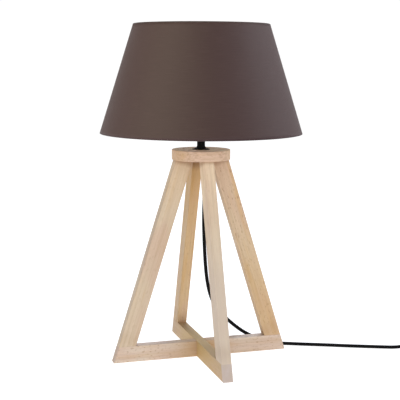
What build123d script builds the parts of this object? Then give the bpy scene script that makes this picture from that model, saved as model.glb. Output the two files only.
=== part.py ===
from build123d import *
import math
import os

# Bedside lamp on a four-legged wooden pyramid, with a tapered fabric shade, in millimetres.
# The origin is on the floor under the centre of the base and +Z is up.
# One rail of the base lies along X and the other along Y.

# Wooden base
FOOT_REACH = 136.0  # centre to the end of a rail, at the floor
BAR_THICKNESS = 15.0  # across every rail and leg
RAIL_HEIGHT = 24.0
LEG_DEPTH = 25.0  # wide side of a leg, square to its length
LEG_TOP_REACH = 41.0  # centre to the outer edge of a leg, under the disc
DISC_UNDERSIDE = 301.0
DISC_DIAMETER = 87.0
DISC_THICKNESS = 15.0
EDGE_EASE = 0.5  # softened long edges of the bars
DISC_EASE = 0.9
LAP_GAP = 0.05  # play in the halving joint where the rails cross
GLUE_GAP = 0.05  # play round dowels, screws and the stem
CUT_PAST = 1.0  # how far a cut runs past the face that it opens

# Dowels and wood screws
DOWEL_DIAMETER = 6.0
DOWEL_DEPTH = 13.0  # into a rail or a leg
DISC_DOWEL_DEPTH = 9.0
FOOT_DOWEL_INSET = 9.0  # from the leg's outer edge at the rail
FOOT_SCREW_INSET = 20.5
TOP_DOWEL_INSETS = (6.5, 17.0)  # from the leg's outer edge under the disc
SCREW_DIAMETER = 4.0
SCREW_HEAD_DIAMETER = 7.6
SCREW_HEAD_HEIGHT = 2.6
SCREW_POINT = 4.0
SCREW_TIP_DIAMETER = 0.6
SCREW_SINK = 0.8  # head below the wood's surface
FOOT_SCREW_LENGTH = 45.0
LAP_SCREW_LENGTH = 19.0
CROSS_SLOT_WIDTH = 0.9
CROSS_SLOT_DEPTH = 1.6

# Threaded stem through the disc
STEM_DIAMETER = 10.0
STEM_BORE = 7.4
STEM_RECESS_DIAMETER = 24.0
STEM_RECESS_DEPTH = 7.5
STEM_TAIL = 1.2  # stem below its nut
NUT_ACROSS_FLATS = 17.0
NUT_HEIGHT = 3.2
WASHER_DIAMETER = 21.0
WASHER_THICKNESS = 1.5
BUSH_DIAMETER = 12.5
BUSH_RIM = 1.6
BUSH_SLEEVE = 5.0
BUSH_EASE = 0.5
CORD_GAP = 0.05  # play round the cord in a bush or port

# Black neck on the disc
COLLAR_HEIGHT = 14.0
COLLAR_BASE_DIAMETER = 26.5
COLLAR_NECK_DIAMETER = 12.0
COLLAR_RIM = 1.5
COLLAR_FLARE_HEIGHT = 6.2

# Lampholder for a 27 mm screw cap
HOLDER_WALL = 2.0
HOLDER_ENTRY_DIAMETER = 18.0
HOLDER_BODY_DIAMETER = 39.0
HOLDER_CAP_HEIGHT = 22.0
HOLDER_CAP_FLOOR = 6.0
HOLDER_DOME_HEIGHT = 15.0
CAP_STRAIGHT = 2.5
SHOULDER_RISE = 10.0  # joint of cap and skirt up to the shoulder
SHOULDER_DIAMETER = 45.0
SHOULDER_THICKNESS = 2.5
SKIRT_HEIGHT = 25.5  # threaded part above the shoulder
SKIRT_DIAMETER = 39.2
CORE_DIAMETER = 33.0
CORE_HEIGHT = 13.0
CORE_SEAT = 3.0  # ring of the skirt that holds the core down
CONTACT_THICKNESS = 0.5
CONTACT_WIDTH = 4.0
CONTACT_RISE = 1.6
CONTACT_PLAY = 1.0  # slot in the skirt wider than its contact
LEAF_ROOT = 9.0  # fixed end of the centre contact to the axis
LEAF_BEND = 5.0
LEAF_CREST = 2.0
LEAF_TIP = 3.0  # free end past the axis
SIDE_CONTACT_HEIGHT = 15.0
SIDE_CONTACT_FOOT = 6.0
TERMINAL_SPACING = 16.0
TERMINAL_DIAMETER = 3.0
TERMINAL_HEAD_DIAMETER = 5.6
TERMINAL_HEAD_HEIGHT = 1.8
TERMINAL_DEPTH = 7.0
FLEX_END_GAP = 1.0  # end of the flex's sheath below the terminals

# Clamp ring that holds the shade down, with its slip washer
FIT_GAP = 0.3  # between curved faces that turn past each other
SLIP_WASHER_DIAMETER = 47.0
SLIP_WASHER_THICKNESS = 0.8
CLAMP_DIAMETER = 52.0
CLAMP_HEIGHT = 9.0
CLAMP_GRIPS = 24
CLAMP_GRIP_RADIUS = 1.3

# Bulb with a 27 mm screw cap
BULB_THREAD_DIAMETER = 26.4
BULB_THREAD_DEPTH = 0.9
BULB_THREAD_PITCH = 3.63
BULB_THREAD_TURNS = 5
BULB_CAP_WALL = 1.0
BULB_GLASS_DIAMETER = 60.0
BULB_GLASS_WALL = 1.2
BULB_HOUSING_WALL = 1.6
BULB_HOUSING_HEIGHT = 40.0
BULB_EQUATOR = 10.0  # widest level above the housing
BULB_BUTTON_DIAMETER = 9.0
BULB_BUTTON_HEIGHT = 1.6
BULB_INSULATOR_HEIGHT = 4.0
BULB_BOARD_DIAMETER = 48.0
BULB_BOARD_THICKNESS = 1.5

# Shade
SHADE_BOTTOM_DIAMETER = 300.0
SHADE_TOP_DIAMETER = 200.0
SHADE_HEIGHT = 160.0
SHADE_DROP = 24.5  # bottom edge of the shade below the lampholder's shoulder
FABRIC_THICKNESS = 0.5
LINER_THICKNESS = 0.4
LAMINATE_GAP = 0.05
RIM_WIRE_DIAMETER = 3.0
HEM_TURN = 9.0  # width of the fabric turned in over the liner
SPIDER_WIRE_DIAMETER = 3.0
SPIDER_ARMS = 3
SPIDER_FIRST_ARM = 90.0  # degrees from +X
SPIDER_PLATE_DIAMETER = 57.0
SPIDER_PLATE_THICKNESS = 2.0
SPIDER_PLATE_PLAY = 0.5  # round the lampholder's skirt
SPIDER_ARM_START = 27.0  # centre to where an arm leaves the plate
SPIDER_ARM_DROP = 0.3  # arm's line below the middle of the plate

# Cord
CORD_DIAMETER = 5.4
ARC_SHARE = 0.45  # part of the shorter run that an arc takes up
CORD_COIL_GAP = 0.6  # air between neighbouring turns and layers
COIL_RADIUS = 37.5  # first turn of the coil, to the cord's centre
COIL_HALF_TURNS = 5  # in the lower layer, and the upper has one fewer and a quarter turn
COIL_LEAD = 30.0  # length over which the cord comes down from the switch
SWITCH_LEAD = 14.0  # straight run into the switch
TAIL_LEAD = 12.0  # straight run out of the coil
PLUG_LEAD = 13.0  # straight run into the plug

# Switch on the cord
SWITCH_PLACE = (346.0, -66.5)  # where the cord enters
SWITCH_HEADING = -8.0  # degrees from +X towards +Y
SWITCH_LENGTH = 48.0
SWITCH_WIDTH = 24.0
SWITCH_HEIGHT = 18.0
SWITCH_CORNER = 7.0
SWITCH_EDGE = 1.8
SWITCH_WALL = 2.0
PORT_LENGTH = 7.0
PORT_ROOT_DIAMETER = 12.0
PORT_TIP_DIAMETER = 8.6
ROCKER_LENGTH = 18.4
ROCKER_WIDTH = 12.4
ROCKER_CROWN = 4.2  # top corners above the pivot
ROCKER_DIP = 0.6
ROCKER_DEPTH = 2.5
ROCKER_SHOULDER = 1.2  # foot of the end faces above the pivot
ROCKER_FOOT = 3.0  # half the flat under the pivot
ROCKER_SWING = 20.0  # degrees from off to on
ROCKER_PIVOT_DROP = 4.5  # pivot below the top of the switch
PIVOT_DIAMETER = 3.0
PIVOT_GAP = 0.05
PIVOT_LENGTH = 1.8
CHEEK_LENGTH = 8.0
CHEEK_THICKNESS = 2.0
SWITCH_SCREW_DIAMETER = 2.2
SWITCH_SCREW_HEAD = 4.2
SWITCH_SCREW_LENGTH = 11.0
SWITCH_SCREW_SINK = 0.4
SWITCH_BOSS_DIAMETER = 5.4
SWITCH_SCREW_PLACES = ((-16.5, 6.9), (16.5, -6.9))
SWITCH_CONTACT_SIZE = (10.0, 5.0, 4.0)
SWITCH_CONTACT_PLACE = 11.0
SHEATH_IN_SWITCH = 12.0

# Two-pin plug
PLUG_PLACE = (473.0, 62.0)  # where the cord enters its sleeve
PLUG_HEADING = 98.0
PLUG_THICKNESS = 13.7
PLUG_WIDTH = 35.3
PLUG_LENGTH = 36.0
PLUG_NECK_WIDTH = 15.0
PLUG_SHOULDER = 21.0  # neck to full width
PLUG_EDGE = 2.6
SLEEVE_LENGTH = 26.0
SLEEVE_ROOT_DIAMETER = 10.6
SLEEVE_TIP_DIAMETER = 7.8
SLEEVE_RIBS = 5
SLEEVE_RIB_DEPTH = 0.7
PIN_SPACING = 18.6
PIN_DIAMETER = 4.0
PIN_LENGTH = 19.0
PIN_CHAMFER = 0.67
PIN_SLEEVE_LENGTH = 10.0
PIN_SLEEVE_DIAMETER = 3.6
PIN_SHANK_DIAMETER = 3.0
PIN_ROOT = 8.0

# Sizes that follow from the ones above
cord_radius = CORD_DIAMETER / 2
lean = (FOOT_REACH - LEG_TOP_REACH) / DISC_UNDERSIDE
leg_span = LEG_DEPTH / math.cos(math.atan(lean))
disc_top = DISC_UNDERSIDE + DISC_THICKNESS
recess_roof = DISC_UNDERSIDE + STEM_RECESS_DEPTH
washer_foot = recess_roof - WASHER_THICKNESS
nut_foot = washer_foot - NUT_HEIGHT
stem_foot = nut_foot - STEM_TAIL
cord_exit = stem_foot - BUSH_RIM
holder_foot = disc_top + COLLAR_HEIGHT
cap_top = holder_foot + HOLDER_CAP_HEIGHT
stem_top = holder_foot + HOLDER_CAP_FLOOR + CAP_STRAIGHT
shoulder = cap_top + SHOULDER_RISE + SHOULDER_THICKNESS
skirt_top = shoulder + SKIRT_HEIGHT
core_top = shoulder - CORE_SEAT
core_foot = core_top - CORE_HEIGHT
plate_top = shoulder + SPIDER_PLATE_THICKNESS
slip_top = plate_top + SLIP_WASHER_THICKNESS
skirt_bore = BULB_THREAD_DIAMETER / 2 + FIT_GAP
button_foot = core_top + CONTACT_THICKNESS + CONTACT_RISE + FIT_GAP
cap_foot = button_foot + BULB_BUTTON_HEIGHT + BULB_INSULATOR_HEIGHT
bulb_housing_foot = skirt_top + FIT_GAP
bulb_housing_top = bulb_housing_foot + BULB_HOUSING_HEIGHT
bulb_centre = bulb_housing_top + BULB_EQUATOR
shade_foot = shoulder - SHADE_DROP
shade_top = shade_foot + SHADE_HEIGHT
shade_taper = (SHADE_BOTTOM_DIAMETER - SHADE_TOP_DIAMETER) / 2 / SHADE_HEIGHT
liner_outside = FABRIC_THICKNESS + LAMINATE_GAP
liner_inside = liner_outside + LINER_THICKNESS
port_height = SWITCH_HEIGHT / 2
switch_span = SWITCH_LENGTH + 2 * PORT_LENGTH
coil_pitch = CORD_DIAMETER + CORD_COIL_GAP
cord_area = math.pi * cord_radius**2

os.makedirs("parts", exist_ok=True)
STANDING = (Align.CENTER, Align.CENTER, Align.MIN)
CONTACT_SEAT = (Align.CENTER, Align.MIN, Align.MIN)


def save(name, *solids):
    shape = solids[0] if len(solids) == 1 else Compound(children=list(solids))
    export_step(shape, f"parts/{name}.step")


def rod(diameter, low, high, x=0.0, y=0.0):
    return Pos(x, y, low) * Cylinder(diameter / 2, high - low, align=STANDING)


def ring(outside, bore, low, high):
    return rod(outside, low, high) - rod(bore, low, high)


def turned(*edges):
    # A body of revolution about the lamp's axis, from lines and arcs in (radius, height)
    outline = Plane.XZ * make_face(Wire(edges))
    return revolve(outline, Axis.Z)


def turned_polygon(*points):
    outline = Plane.XZ * Polygon(*points, align=None)
    return revolve(outline, Axis.Z)


def heading_vector(degrees):
    return Vector(math.cos(math.radians(degrees)), math.sin(math.radians(degrees)), 0)


def four_ways(solid):
    return [Rot(0, 0, turn) * solid for turn in (0, 90, 180, 270)]


def leg_edge(height):
    # Distance from the axis to the outer edge of the legs at a height
    return FOOT_REACH - lean * height


# Wooden base


def bar(*corners):
    # A straight bar with its outline in the X Z plane and softened long edges
    solid = extrude(Plane.XZ * Polygon(*corners, align=None), BAR_THICKNESS / 2, both=True)
    long_edges = [e for e in solid.edges() if e.length > 4 * LEG_DEPTH]
    return chamfer(long_edges, EDGE_EASE)


def rail():
    foot = leg_edge(0)
    top = leg_edge(RAIL_HEIGHT)
    return bar((-foot, 0), (foot, 0), (top, RAIL_HEIGHT), (-top, RAIL_HEIGHT))


def lap_notch(low, high):
    width = BAR_THICKNESS + 2 * LAP_GAP
    return Pos(0, 0, low) * Box(width, 2 * BAR_THICKNESS, high - low, align=STANDING)


def leg():
    foot = leg_edge(RAIL_HEIGHT)
    top = leg_edge(DISC_UNDERSIDE)
    return bar(
        (foot, RAIL_HEIGHT),
        (top, DISC_UNDERSIDE),
        (top - leg_span, DISC_UNDERSIDE),
        (foot - leg_span, RAIL_HEIGHT),
    )


def screw_solid(length, grow=0.0):
    # Countersunk head, shank and point, grown by the play round them
    shank = SCREW_DIAMETER / 2 + grow
    head = SCREW_HEAD_DIAMETER / 2 + grow
    tip = SCREW_SINK + length
    return turned_polygon(
        (0, SCREW_SINK),
        (head, SCREW_SINK),
        (shank, SCREW_SINK + SCREW_HEAD_HEIGHT),
        (shank, tip - SCREW_POINT),
        (SCREW_TIP_DIAMETER / 2 + grow, tip + grow),
        (0, tip + grow),
    )


def wood_screw(length, x=0.0):
    # Driven upwards, with a cross recess in its head
    slot = Box(SCREW_DIAMETER, CROSS_SLOT_WIDTH, 2 * CROSS_SLOT_DEPTH)
    recess = Pos(0, 0, SCREW_SINK) * (slot + Rot(0, 0, 90) * slot)
    return Pos(x, 0, 0) * (screw_solid(length) - recess)


def screw_hole(length, x=0.0):
    # Room for the screw, with its countersink open to the floor
    mouth = rod(SCREW_HEAD_DIAMETER + 2 * GLUE_GAP, -CUT_PAST, SCREW_SINK)
    return Pos(x, 0, 0) * (screw_solid(length, GLUE_GAP) + mouth)


def foot_dowel(grow=0.0):
    place = leg_edge(RAIL_HEIGHT) - FOOT_DOWEL_INSET
    reach = DOWEL_DEPTH + grow
    return rod(DOWEL_DIAMETER + 2 * grow, RAIL_HEIGHT - reach, RAIL_HEIGHT + reach, place)


def top_dowels(grow=0.0):
    low = DISC_UNDERSIDE - DOWEL_DEPTH - grow
    high = DISC_UNDERSIDE + DISC_DOWEL_DEPTH + grow
    return [rod(DOWEL_DIAMETER + 2 * grow, low, high, LEG_TOP_REACH - inset) for inset in TOP_DOWEL_INSETS]


def foot_screw_place():
    return leg_edge(RAIL_HEIGHT) - FOOT_SCREW_INSET


def build_base():
    half = RAIL_HEIGHT / 2
    foot_screw_hole = screw_hole(FOOT_SCREW_LENGTH, foot_screw_place())
    foot_holes = four_ways(foot_dowel(GLUE_GAP)) + four_ways(foot_screw_hole)
    lap_hole = screw_hole(LAP_SCREW_LENGTH)
    rail_x = rail() - lap_notch(half - LAP_GAP, RAIL_HEIGHT + CUT_PAST) - foot_holes[0] - foot_holes[2]
    rail_x = rail_x - foot_holes[4] - foot_holes[6] - lap_hole
    rail_y = Rot(0, 0, 90) * (rail() - lap_notch(-CUT_PAST, half))
    rail_y = rail_y - foot_holes[1] - foot_holes[3] - foot_holes[5] - foot_holes[7] - lap_hole
    save("rail_x", rail_x)
    save("rail_y", rail_y)
    leg_blank = leg() - foot_dowel(GLUE_GAP) - foot_screw_hole
    for hole in top_dowels(GLUE_GAP):
        leg_blank -= hole
    names = ("leg_right", "leg_back", "leg_left", "leg_front")
    for name, placed in zip(names, four_ways(leg_blank)):
        save(name, placed)
    save("foot_dowels", *four_ways(foot_dowel()))
    save("foot_screws", *four_ways(wood_screw(FOOT_SCREW_LENGTH, foot_screw_place())))
    save("lap_screw", wood_screw(LAP_SCREW_LENGTH))
    save("top_dowels", *[placed for dowel in top_dowels() for placed in four_ways(dowel)])


def build_disc():
    disc = rod(DISC_DIAMETER, DISC_UNDERSIDE, disc_top)
    disc = fillet(disc.edges().filter_by(GeomType.CIRCLE), DISC_EASE)
    disc -= rod(STEM_DIAMETER + 2 * GLUE_GAP, DISC_UNDERSIDE, disc_top)
    disc -= rod(STEM_RECESS_DIAMETER, DISC_UNDERSIDE, recess_roof)
    for dowel in top_dowels(GLUE_GAP):
        for hole in four_ways(dowel):
            disc -= hole
    save("top_disc", disc)


# Stem, its fixings and the neck


def build_stem():
    bore = STEM_DIAMETER + 2 * GLUE_GAP
    save("stem_tube", ring(STEM_DIAMETER, STEM_BORE, stem_foot, stem_top))
    save("stem_washer", ring(WASHER_DIAMETER, bore, washer_foot, recess_roof))
    hexagon = RegularPolygon(NUT_ACROSS_FLATS / 2, 6, major_radius=False)
    nut = Pos(0, 0, nut_foot) * extrude(hexagon, NUT_HEIGHT)
    save("stem_nut", nut - rod(bore, nut_foot, washer_foot))
    bush = rod(BUSH_DIAMETER, cord_exit, stem_foot)
    bush = fillet(bush.edges().group_by(Axis.Z)[0], BUSH_EASE)
    bush += rod(STEM_BORE - 2 * GLUE_GAP, stem_foot, stem_foot + BUSH_SLEEVE)
    save("cord_bush", bush - rod(CORD_DIAMETER + 2 * CORD_GAP, cord_exit, stem_foot + BUSH_SLEEVE))
    base = COLLAR_BASE_DIAMETER / 2
    neck = COLLAR_NECK_DIAMETER / 2
    bore_radius = bore / 2
    rim = disc_top + COLLAR_RIM
    flare = disc_top + COLLAR_FLARE_HEIGHT
    top = disc_top + COLLAR_HEIGHT
    corners = [(bore_radius, disc_top), (base, disc_top), (base, rim), (neck, flare)]
    collar = turned(
        Line(corners[0], corners[1]),
        Line(corners[1], corners[2]),
        TangentArc(corners[3], corners[2], tangent=(0, -1)),
        Line(corners[3], (neck, top)),
        Line((neck, top), (bore_radius, top)),
        Line((bore_radius, top), corners[0]),
    )
    save("neck_collar", collar)


# Lampholder, clamp ring and bulb


def build_holder():
    entry = HOLDER_ENTRY_DIAMETER / 2
    body = HOLDER_BODY_DIAMETER / 2
    bore = STEM_DIAMETER / 2 + GLUE_GAP
    dome = holder_foot + HOLDER_DOME_HEIGHT
    floor = holder_foot + HOLDER_CAP_FLOOR
    cap = turned(
        Line((bore, holder_foot), (entry, holder_foot)),
        TangentArc((body, dome), (entry, holder_foot), tangent=(0, -1)),
        Line((body, dome), (body, cap_top)),
        Line((body, cap_top), (body - HOLDER_WALL, cap_top)),
        Line((body - HOLDER_WALL, cap_top), (body - HOLDER_WALL, dome)),
        Line((body - HOLDER_WALL, dome), (entry, floor)),
        Line((entry, floor), (bore, floor)),
        Line((bore, floor), (bore, holder_foot)),
    )
    save("holder_cap", cap)
    skirt = ring(HOLDER_BODY_DIAMETER, HOLDER_BODY_DIAMETER - 2 * HOLDER_WALL, cap_top, core_top)
    skirt += ring(HOLDER_BODY_DIAMETER, 2 * skirt_bore, core_top, shoulder)
    skirt += ring(SHOULDER_DIAMETER, 2 * skirt_bore, shoulder - SHOULDER_THICKNESS, shoulder)
    skirt += ring(SKIRT_DIAMETER, 2 * skirt_bore, shoulder, skirt_top)
    slot_depth = skirt_bore + 3 * CONTACT_THICKNESS
    slot_height = SIDE_CONTACT_HEIGHT + CORE_SEAT
    slot_width = CONTACT_WIDTH + CONTACT_PLAY
    slot = Box(slot_width, slot_depth, slot_height, align=CONTACT_SEAT)
    save("holder_skirt", skirt - Pos(0, 0, core_top) * slot)
    core = rod(CORE_DIAMETER, core_foot, core_top)
    for side in (-1, 1):
        x = side * TERMINAL_SPACING / 2
        core -= rod(TERMINAL_DIAMETER + 2 * GLUE_GAP, core_foot, core_foot + TERMINAL_DEPTH, x)
    save("holder_core", core)


def build_contacts():
    thick = CONTACT_THICKNESS
    top = core_top + thick
    crest = core_top + CONTACT_RISE
    leaf = Polygon(
        (-LEAF_ROOT, core_top),
        (-LEAF_BEND, core_top),
        (-LEAF_CREST, crest),
        (LEAF_TIP, crest),
        (LEAF_TIP, crest + thick),
        (-LEAF_CREST, crest + thick),
        (-LEAF_BEND, top),
        (-LEAF_ROOT, top),
        align=None,
    )
    save("centre_contact", extrude(Plane.XZ * leaf, CONTACT_WIDTH / 2, both=True))
    inner = skirt_bore + thick
    foot = Box(CONTACT_WIDTH, SIDE_CONTACT_FOOT, thick, align=CONTACT_SEAT)
    blade = Box(CONTACT_WIDTH, thick, SIDE_CONTACT_HEIGHT, align=CONTACT_SEAT)
    side = Pos(0, inner - SIDE_CONTACT_FOOT, core_top) * foot + Pos(0, inner, core_top) * blade
    save("side_contact", side)
    head = core_foot - TERMINAL_HEAD_HEIGHT
    screw = rod(TERMINAL_HEAD_DIAMETER, head, core_foot)
    screw += rod(TERMINAL_DIAMETER, core_foot, core_foot + TERMINAL_DEPTH)
    screw -= Pos(0, 0, head) * Box(TERMINAL_HEAD_DIAMETER, CROSS_SLOT_WIDTH, CROSS_SLOT_WIDTH)
    save("terminal_screws", *[Pos(side * TERMINAL_SPACING / 2, 0, 0) * screw for side in (-1, 1)])


def build_clamp():
    bore = SKIRT_DIAMETER + 2 * FIT_GAP
    save("slip_washer", ring(SLIP_WASHER_DIAMETER, bore, plate_top, slip_top))
    clamp = ring(CLAMP_DIAMETER, bore, slip_top, slip_top + CLAMP_HEIGHT)
    groove_place = (CLAMP_DIAMETER + CLAMP_GRIP_RADIUS) / 2
    groove = rod(2 * CLAMP_GRIP_RADIUS, slip_top, slip_top + CLAMP_HEIGHT, groove_place)
    for turn in range(CLAMP_GRIPS):
        clamp -= Rot(0, 0, turn * 360 / CLAMP_GRIPS) * groove
    save("clamp_ring", clamp)


def build_bulb():
    crest = BULB_THREAD_DIAMETER / 2
    root = crest - BULB_THREAD_DEPTH
    inside = root - BULB_CAP_WALL
    thread = [(root, cap_foot)]
    for turn in range(BULB_THREAD_TURNS):
        start = cap_foot + turn * BULB_THREAD_PITCH
        thread += [(crest, start + BULB_THREAD_PITCH / 2), (root, start + BULB_THREAD_PITCH)]
    shell = [(root, bulb_housing_foot), (inside, bulb_housing_foot), (inside, cap_foot)]
    save("bulb_cap", turned_polygon(*thread, *shell))
    button = BULB_BUTTON_DIAMETER / 2
    insulator_foot = button_foot + BULB_BUTTON_HEIGHT
    insulator = turned_polygon((0, insulator_foot), (button, insulator_foot), (root, cap_foot), (0, cap_foot))
    save("bulb_insulator", insulator)
    save("bulb_button", rod(BULB_BUTTON_DIAMETER, button_foot, insulator_foot))
    glass = BULB_GLASS_DIAMETER / 2
    rim = math.sqrt(glass**2 - BULB_EQUATOR**2)
    inner = glass - BULB_GLASS_WALL
    inner_rim = math.sqrt(inner**2 - BULB_EQUATOR**2)
    wall = BULB_HOUSING_WALL
    waist = (crest + rim) / 2 - wall
    middle = bulb_housing_foot + BULB_HOUSING_HEIGHT / 2
    ceiling = bulb_housing_top - wall
    # The housing is closed on top by the plate that the board lies on
    housing = turned(
        Line((root, bulb_housing_foot), (crest, bulb_housing_foot)),
        ThreePointArc((crest, bulb_housing_foot), (waist, middle), (rim, bulb_housing_top)),
        Line((rim, bulb_housing_top), (0, bulb_housing_top)),
        Line((0, bulb_housing_top), (0, ceiling)),
        Line((0, ceiling), (rim - 2 * wall, ceiling)),
        ThreePointArc((rim - 2 * wall, ceiling), (waist - wall, middle), (root, bulb_housing_foot)),
    )
    save("bulb_housing", housing)
    globe = turned(
        ThreePointArc((rim, bulb_housing_top), (glass, bulb_centre), (0, bulb_centre + glass)),
        Line((0, bulb_centre + glass), (0, bulb_centre + inner)),
        ThreePointArc((0, bulb_centre + inner), (inner, bulb_centre), (inner_rim, bulb_housing_top)),
        Line((inner_rim, bulb_housing_top), (rim, bulb_housing_top)),
    )
    save("bulb_globe", globe)
    save("bulb_board", rod(BULB_BOARD_DIAMETER, bulb_housing_top, bulb_housing_top + BULB_BOARD_THICKNESS))


# Shade


def cone_radius(height, inset=0.0):
    return SHADE_BOTTOM_DIAMETER / 2 - shade_taper * (height - shade_foot) - inset


def cone_shell(low, high, outside, inside):
    return turned_polygon(
        (cone_radius(low, outside), low),
        (cone_radius(high, outside), high),
        (cone_radius(high, inside), high),
        (cone_radius(low, inside), low),
    )


def rim_wire(height):
    # Radius of the circle along which a rim wire runs, so that it touches the liner
    slope = math.atan(shade_taper)
    return cone_radius(height, liner_inside + LAMINATE_GAP + RIM_WIRE_DIAMETER / 2 / math.cos(slope))


def hem(edge, upwards):
    # Fabric folded round a rim wire and turned in over the liner
    thick = FABRIC_THICKNESS
    wire = RIM_WIRE_DIAMETER + 2 * LAMINATE_GAP
    level = edge + upwards * (thick + wire / 2)
    under = edge + upwards * thick
    over = under + upwards * (wire + thick)
    end = over + upwards * HEM_TURN
    inner = rim_wire(level) - wire / 2
    laid = liner_inside + LAMINATE_GAP
    return turned_polygon(
        (cone_radius(edge), edge),
        (cone_radius(under), under),
        (inner, under),
        (inner, over - upwards * thick),
        (cone_radius(over, laid), over),
        (cone_radius(end, laid), end),
        (cone_radius(end, laid + thick), end),
        (cone_radius(over, laid + thick), over),
        (inner - thick, over - upwards * thick),
        (inner - thick, edge),
    )


def spider_arm():
    # From the plate down to the middle of the lower rim wire
    level = shade_foot + FABRIC_THICKNESS + LAMINATE_GAP + RIM_WIRE_DIAMETER / 2
    start = Vector(SPIDER_ARM_START, 0, shoulder + SPIDER_PLATE_THICKNESS / 2 - SPIDER_ARM_DROP)
    end = Vector(rim_wire(level), 0, level)
    return start, end


def straight_rod(start, end, diameter):
    section = Plane(origin=start, z_dir=end - start) * Circle(diameter / 2)
    return extrude(section, (end - start).length)


def build_shade():
    low = shade_foot + FABRIC_THICKNESS
    high = shade_top - FABRIC_THICKNESS
    save("shade_fabric", cone_shell(low, high, 0, FABRIC_THICKNESS))
    save("shade_liner", cone_shell(low, high, liner_outside, liner_inside))
    level = FABRIC_THICKNESS + LAMINATE_GAP + RIM_WIRE_DIAMETER / 2
    wires = {}
    for name, height in (("lower_rim_wire", shade_foot + level), ("upper_rim_wire", shade_top - level)):
        wires[name] = Pos(0, 0, height) * Torus(rim_wire(height), RIM_WIRE_DIAMETER / 2)
        save(name, wires[name])
    start, end = spider_arm()
    arm = straight_rod(start, end, SPIDER_WIRE_DIAMETER)
    slit = straight_rod(start, end, SPIDER_WIRE_DIAMETER + 2 * FIT_GAP)
    spider = ring(SPIDER_PLATE_DIAMETER, SKIRT_DIAMETER + 2 * SPIDER_PLATE_PLAY, shoulder, plate_top)
    lower_hem = hem(shade_foot, 1)
    for turn in range(SPIDER_ARMS):
        way = Rot(0, 0, SPIDER_FIRST_ARM + turn * 360 / SPIDER_ARMS)
        spider += way * arm
        lower_hem -= way * slit
    spider -= wires["lower_rim_wire"]
    save("spider", max(spider.solids(), key=lambda solid: solid.volume))
    save("lower_hem", max(lower_hem.solids(), key=lambda solid: solid.volume))
    save("upper_hem", hem(shade_top, -1))


# Cord


def corner_radii(points):
    # Each arc as large as its two runs allow
    radii = []
    for before, here, after in zip(points, points[1:], points[2:]):
        first, second = here - before, after - here
        turn = math.radians(first.get_angle(second))
        radii.append(ARC_SHARE * min(first.length, second.length) / math.tan(turn / 2))
    return radii


def free_cord(name, points):
    points = [Vector(point) for point in points]
    radii = corner_radii(points)
    path = FilletPolyline(*points, radius=radii)
    section = Plane(origin=points[0], z_dir=points[1] - points[0]) * Circle(cord_radius)
    solid = sweep(section, path=path)
    print(f"{name}: corner radii {', '.join(f'{radius:.0f}' for radius in radii)}")
    report_length(name, solid, path.length)
    save(name, solid)
    return path.length


def report_length(name, solid, length):
    share = solid.volume / (cord_area * length)
    lowest = solid.bounding_box().min.Z
    print(f"{name}: {length:.1f} long, lowest point {lowest:.3f}, volume share {share:.4f}")


def arc_chain(points, heading):
    # Arcs through the points, each starting along the line where the last one ended
    edges = []
    for start, end in zip(points, points[1:]):
        chord = (end - start).normalized()
        edges.append(Edge.make_tangent_arc(start, heading, end))
        heading = chord * (2 * heading.dot(chord)) - heading
    return edges


def coil_points():
    # The coil in its own frame: the cord comes from the switch along +X and turns left.
    # Half turns spiral in on the floor, the innermost climbs, and the rest spiral out on top.
    shrink = coil_pitch / 2
    low = cord_radius
    high = low + coil_pitch
    start = CORD_DIAMETER
    entry = start + COIL_LEAD
    points = [
        Vector(start, 0, port_height),
        Vector(start + COIL_LEAD / 2, 0, (port_height + low) / 2),
        Vector(entry, 0, low),
    ]
    side, radius, away = 0.0, COIL_RADIUS, 1
    for _ in range(COIL_HALF_TURNS):
        side += away * 2 * radius
        points.append(Vector(entry, side, low))
        radius, away = radius - shrink, -away
    bulge = -away * math.sqrt(radius**2 + coil_pitch**2 / 4)
    points.append(Vector(entry - abs(bulge), side + away * radius, low + coil_pitch / 2))
    side += away * 2 * radius
    points.append(Vector(entry, side, high))
    for _ in range(COIL_HALF_TURNS - 1):
        radius, away = radius + shrink, -away
        side += away * 2 * radius
        points.append(Vector(entry, side, high))
    radius += shrink
    points.append(Vector(entry + radius, side + radius, high))
    return points


def least_self_gap(edges, clear_length):
    # Nearest approach of the tube to itself, between places far enough apart along it
    spots, distance = [], 0.0
    for edge in edges:
        steps = max(2, int(edge.length / 2))
        for step in range(steps):
            spots.append((distance + edge.length * step / steps, edge.position_at(step / steps)))
        distance += edge.length
    least = math.inf
    for index, (place, spot) in enumerate(spots):
        for other_place, other in spots[index + 1 :]:
            if other_place - place > clear_length:
                least = min(least, (other - spot).length)
    return least - CORD_DIAMETER


def build_coil(placing):
    points = coil_points()
    first = Vector(0, 0, port_height)
    last = points[-1] + Vector(0, CORD_DIAMETER, 0)
    turns = arc_chain(points, Vector(1, 0, 0))
    edges = [Edge.make_line(first, points[0]), *turns, Edge.make_line(points[-1], last)]
    section = Plane(origin=first, z_dir=(1, 0, 0)) * Circle(cord_radius)
    solid = sweep(section, path=Wire(edges))
    length = sum(edge.length for edge in edges)
    report_length("cord_coil", solid, length)
    print(f"cord_coil: least gap to itself {least_self_gap(edges, math.pi * COIL_RADIUS / 2):.2f}")
    save("cord_coil", placing * solid)
    return placing * Pos(last), length


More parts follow.
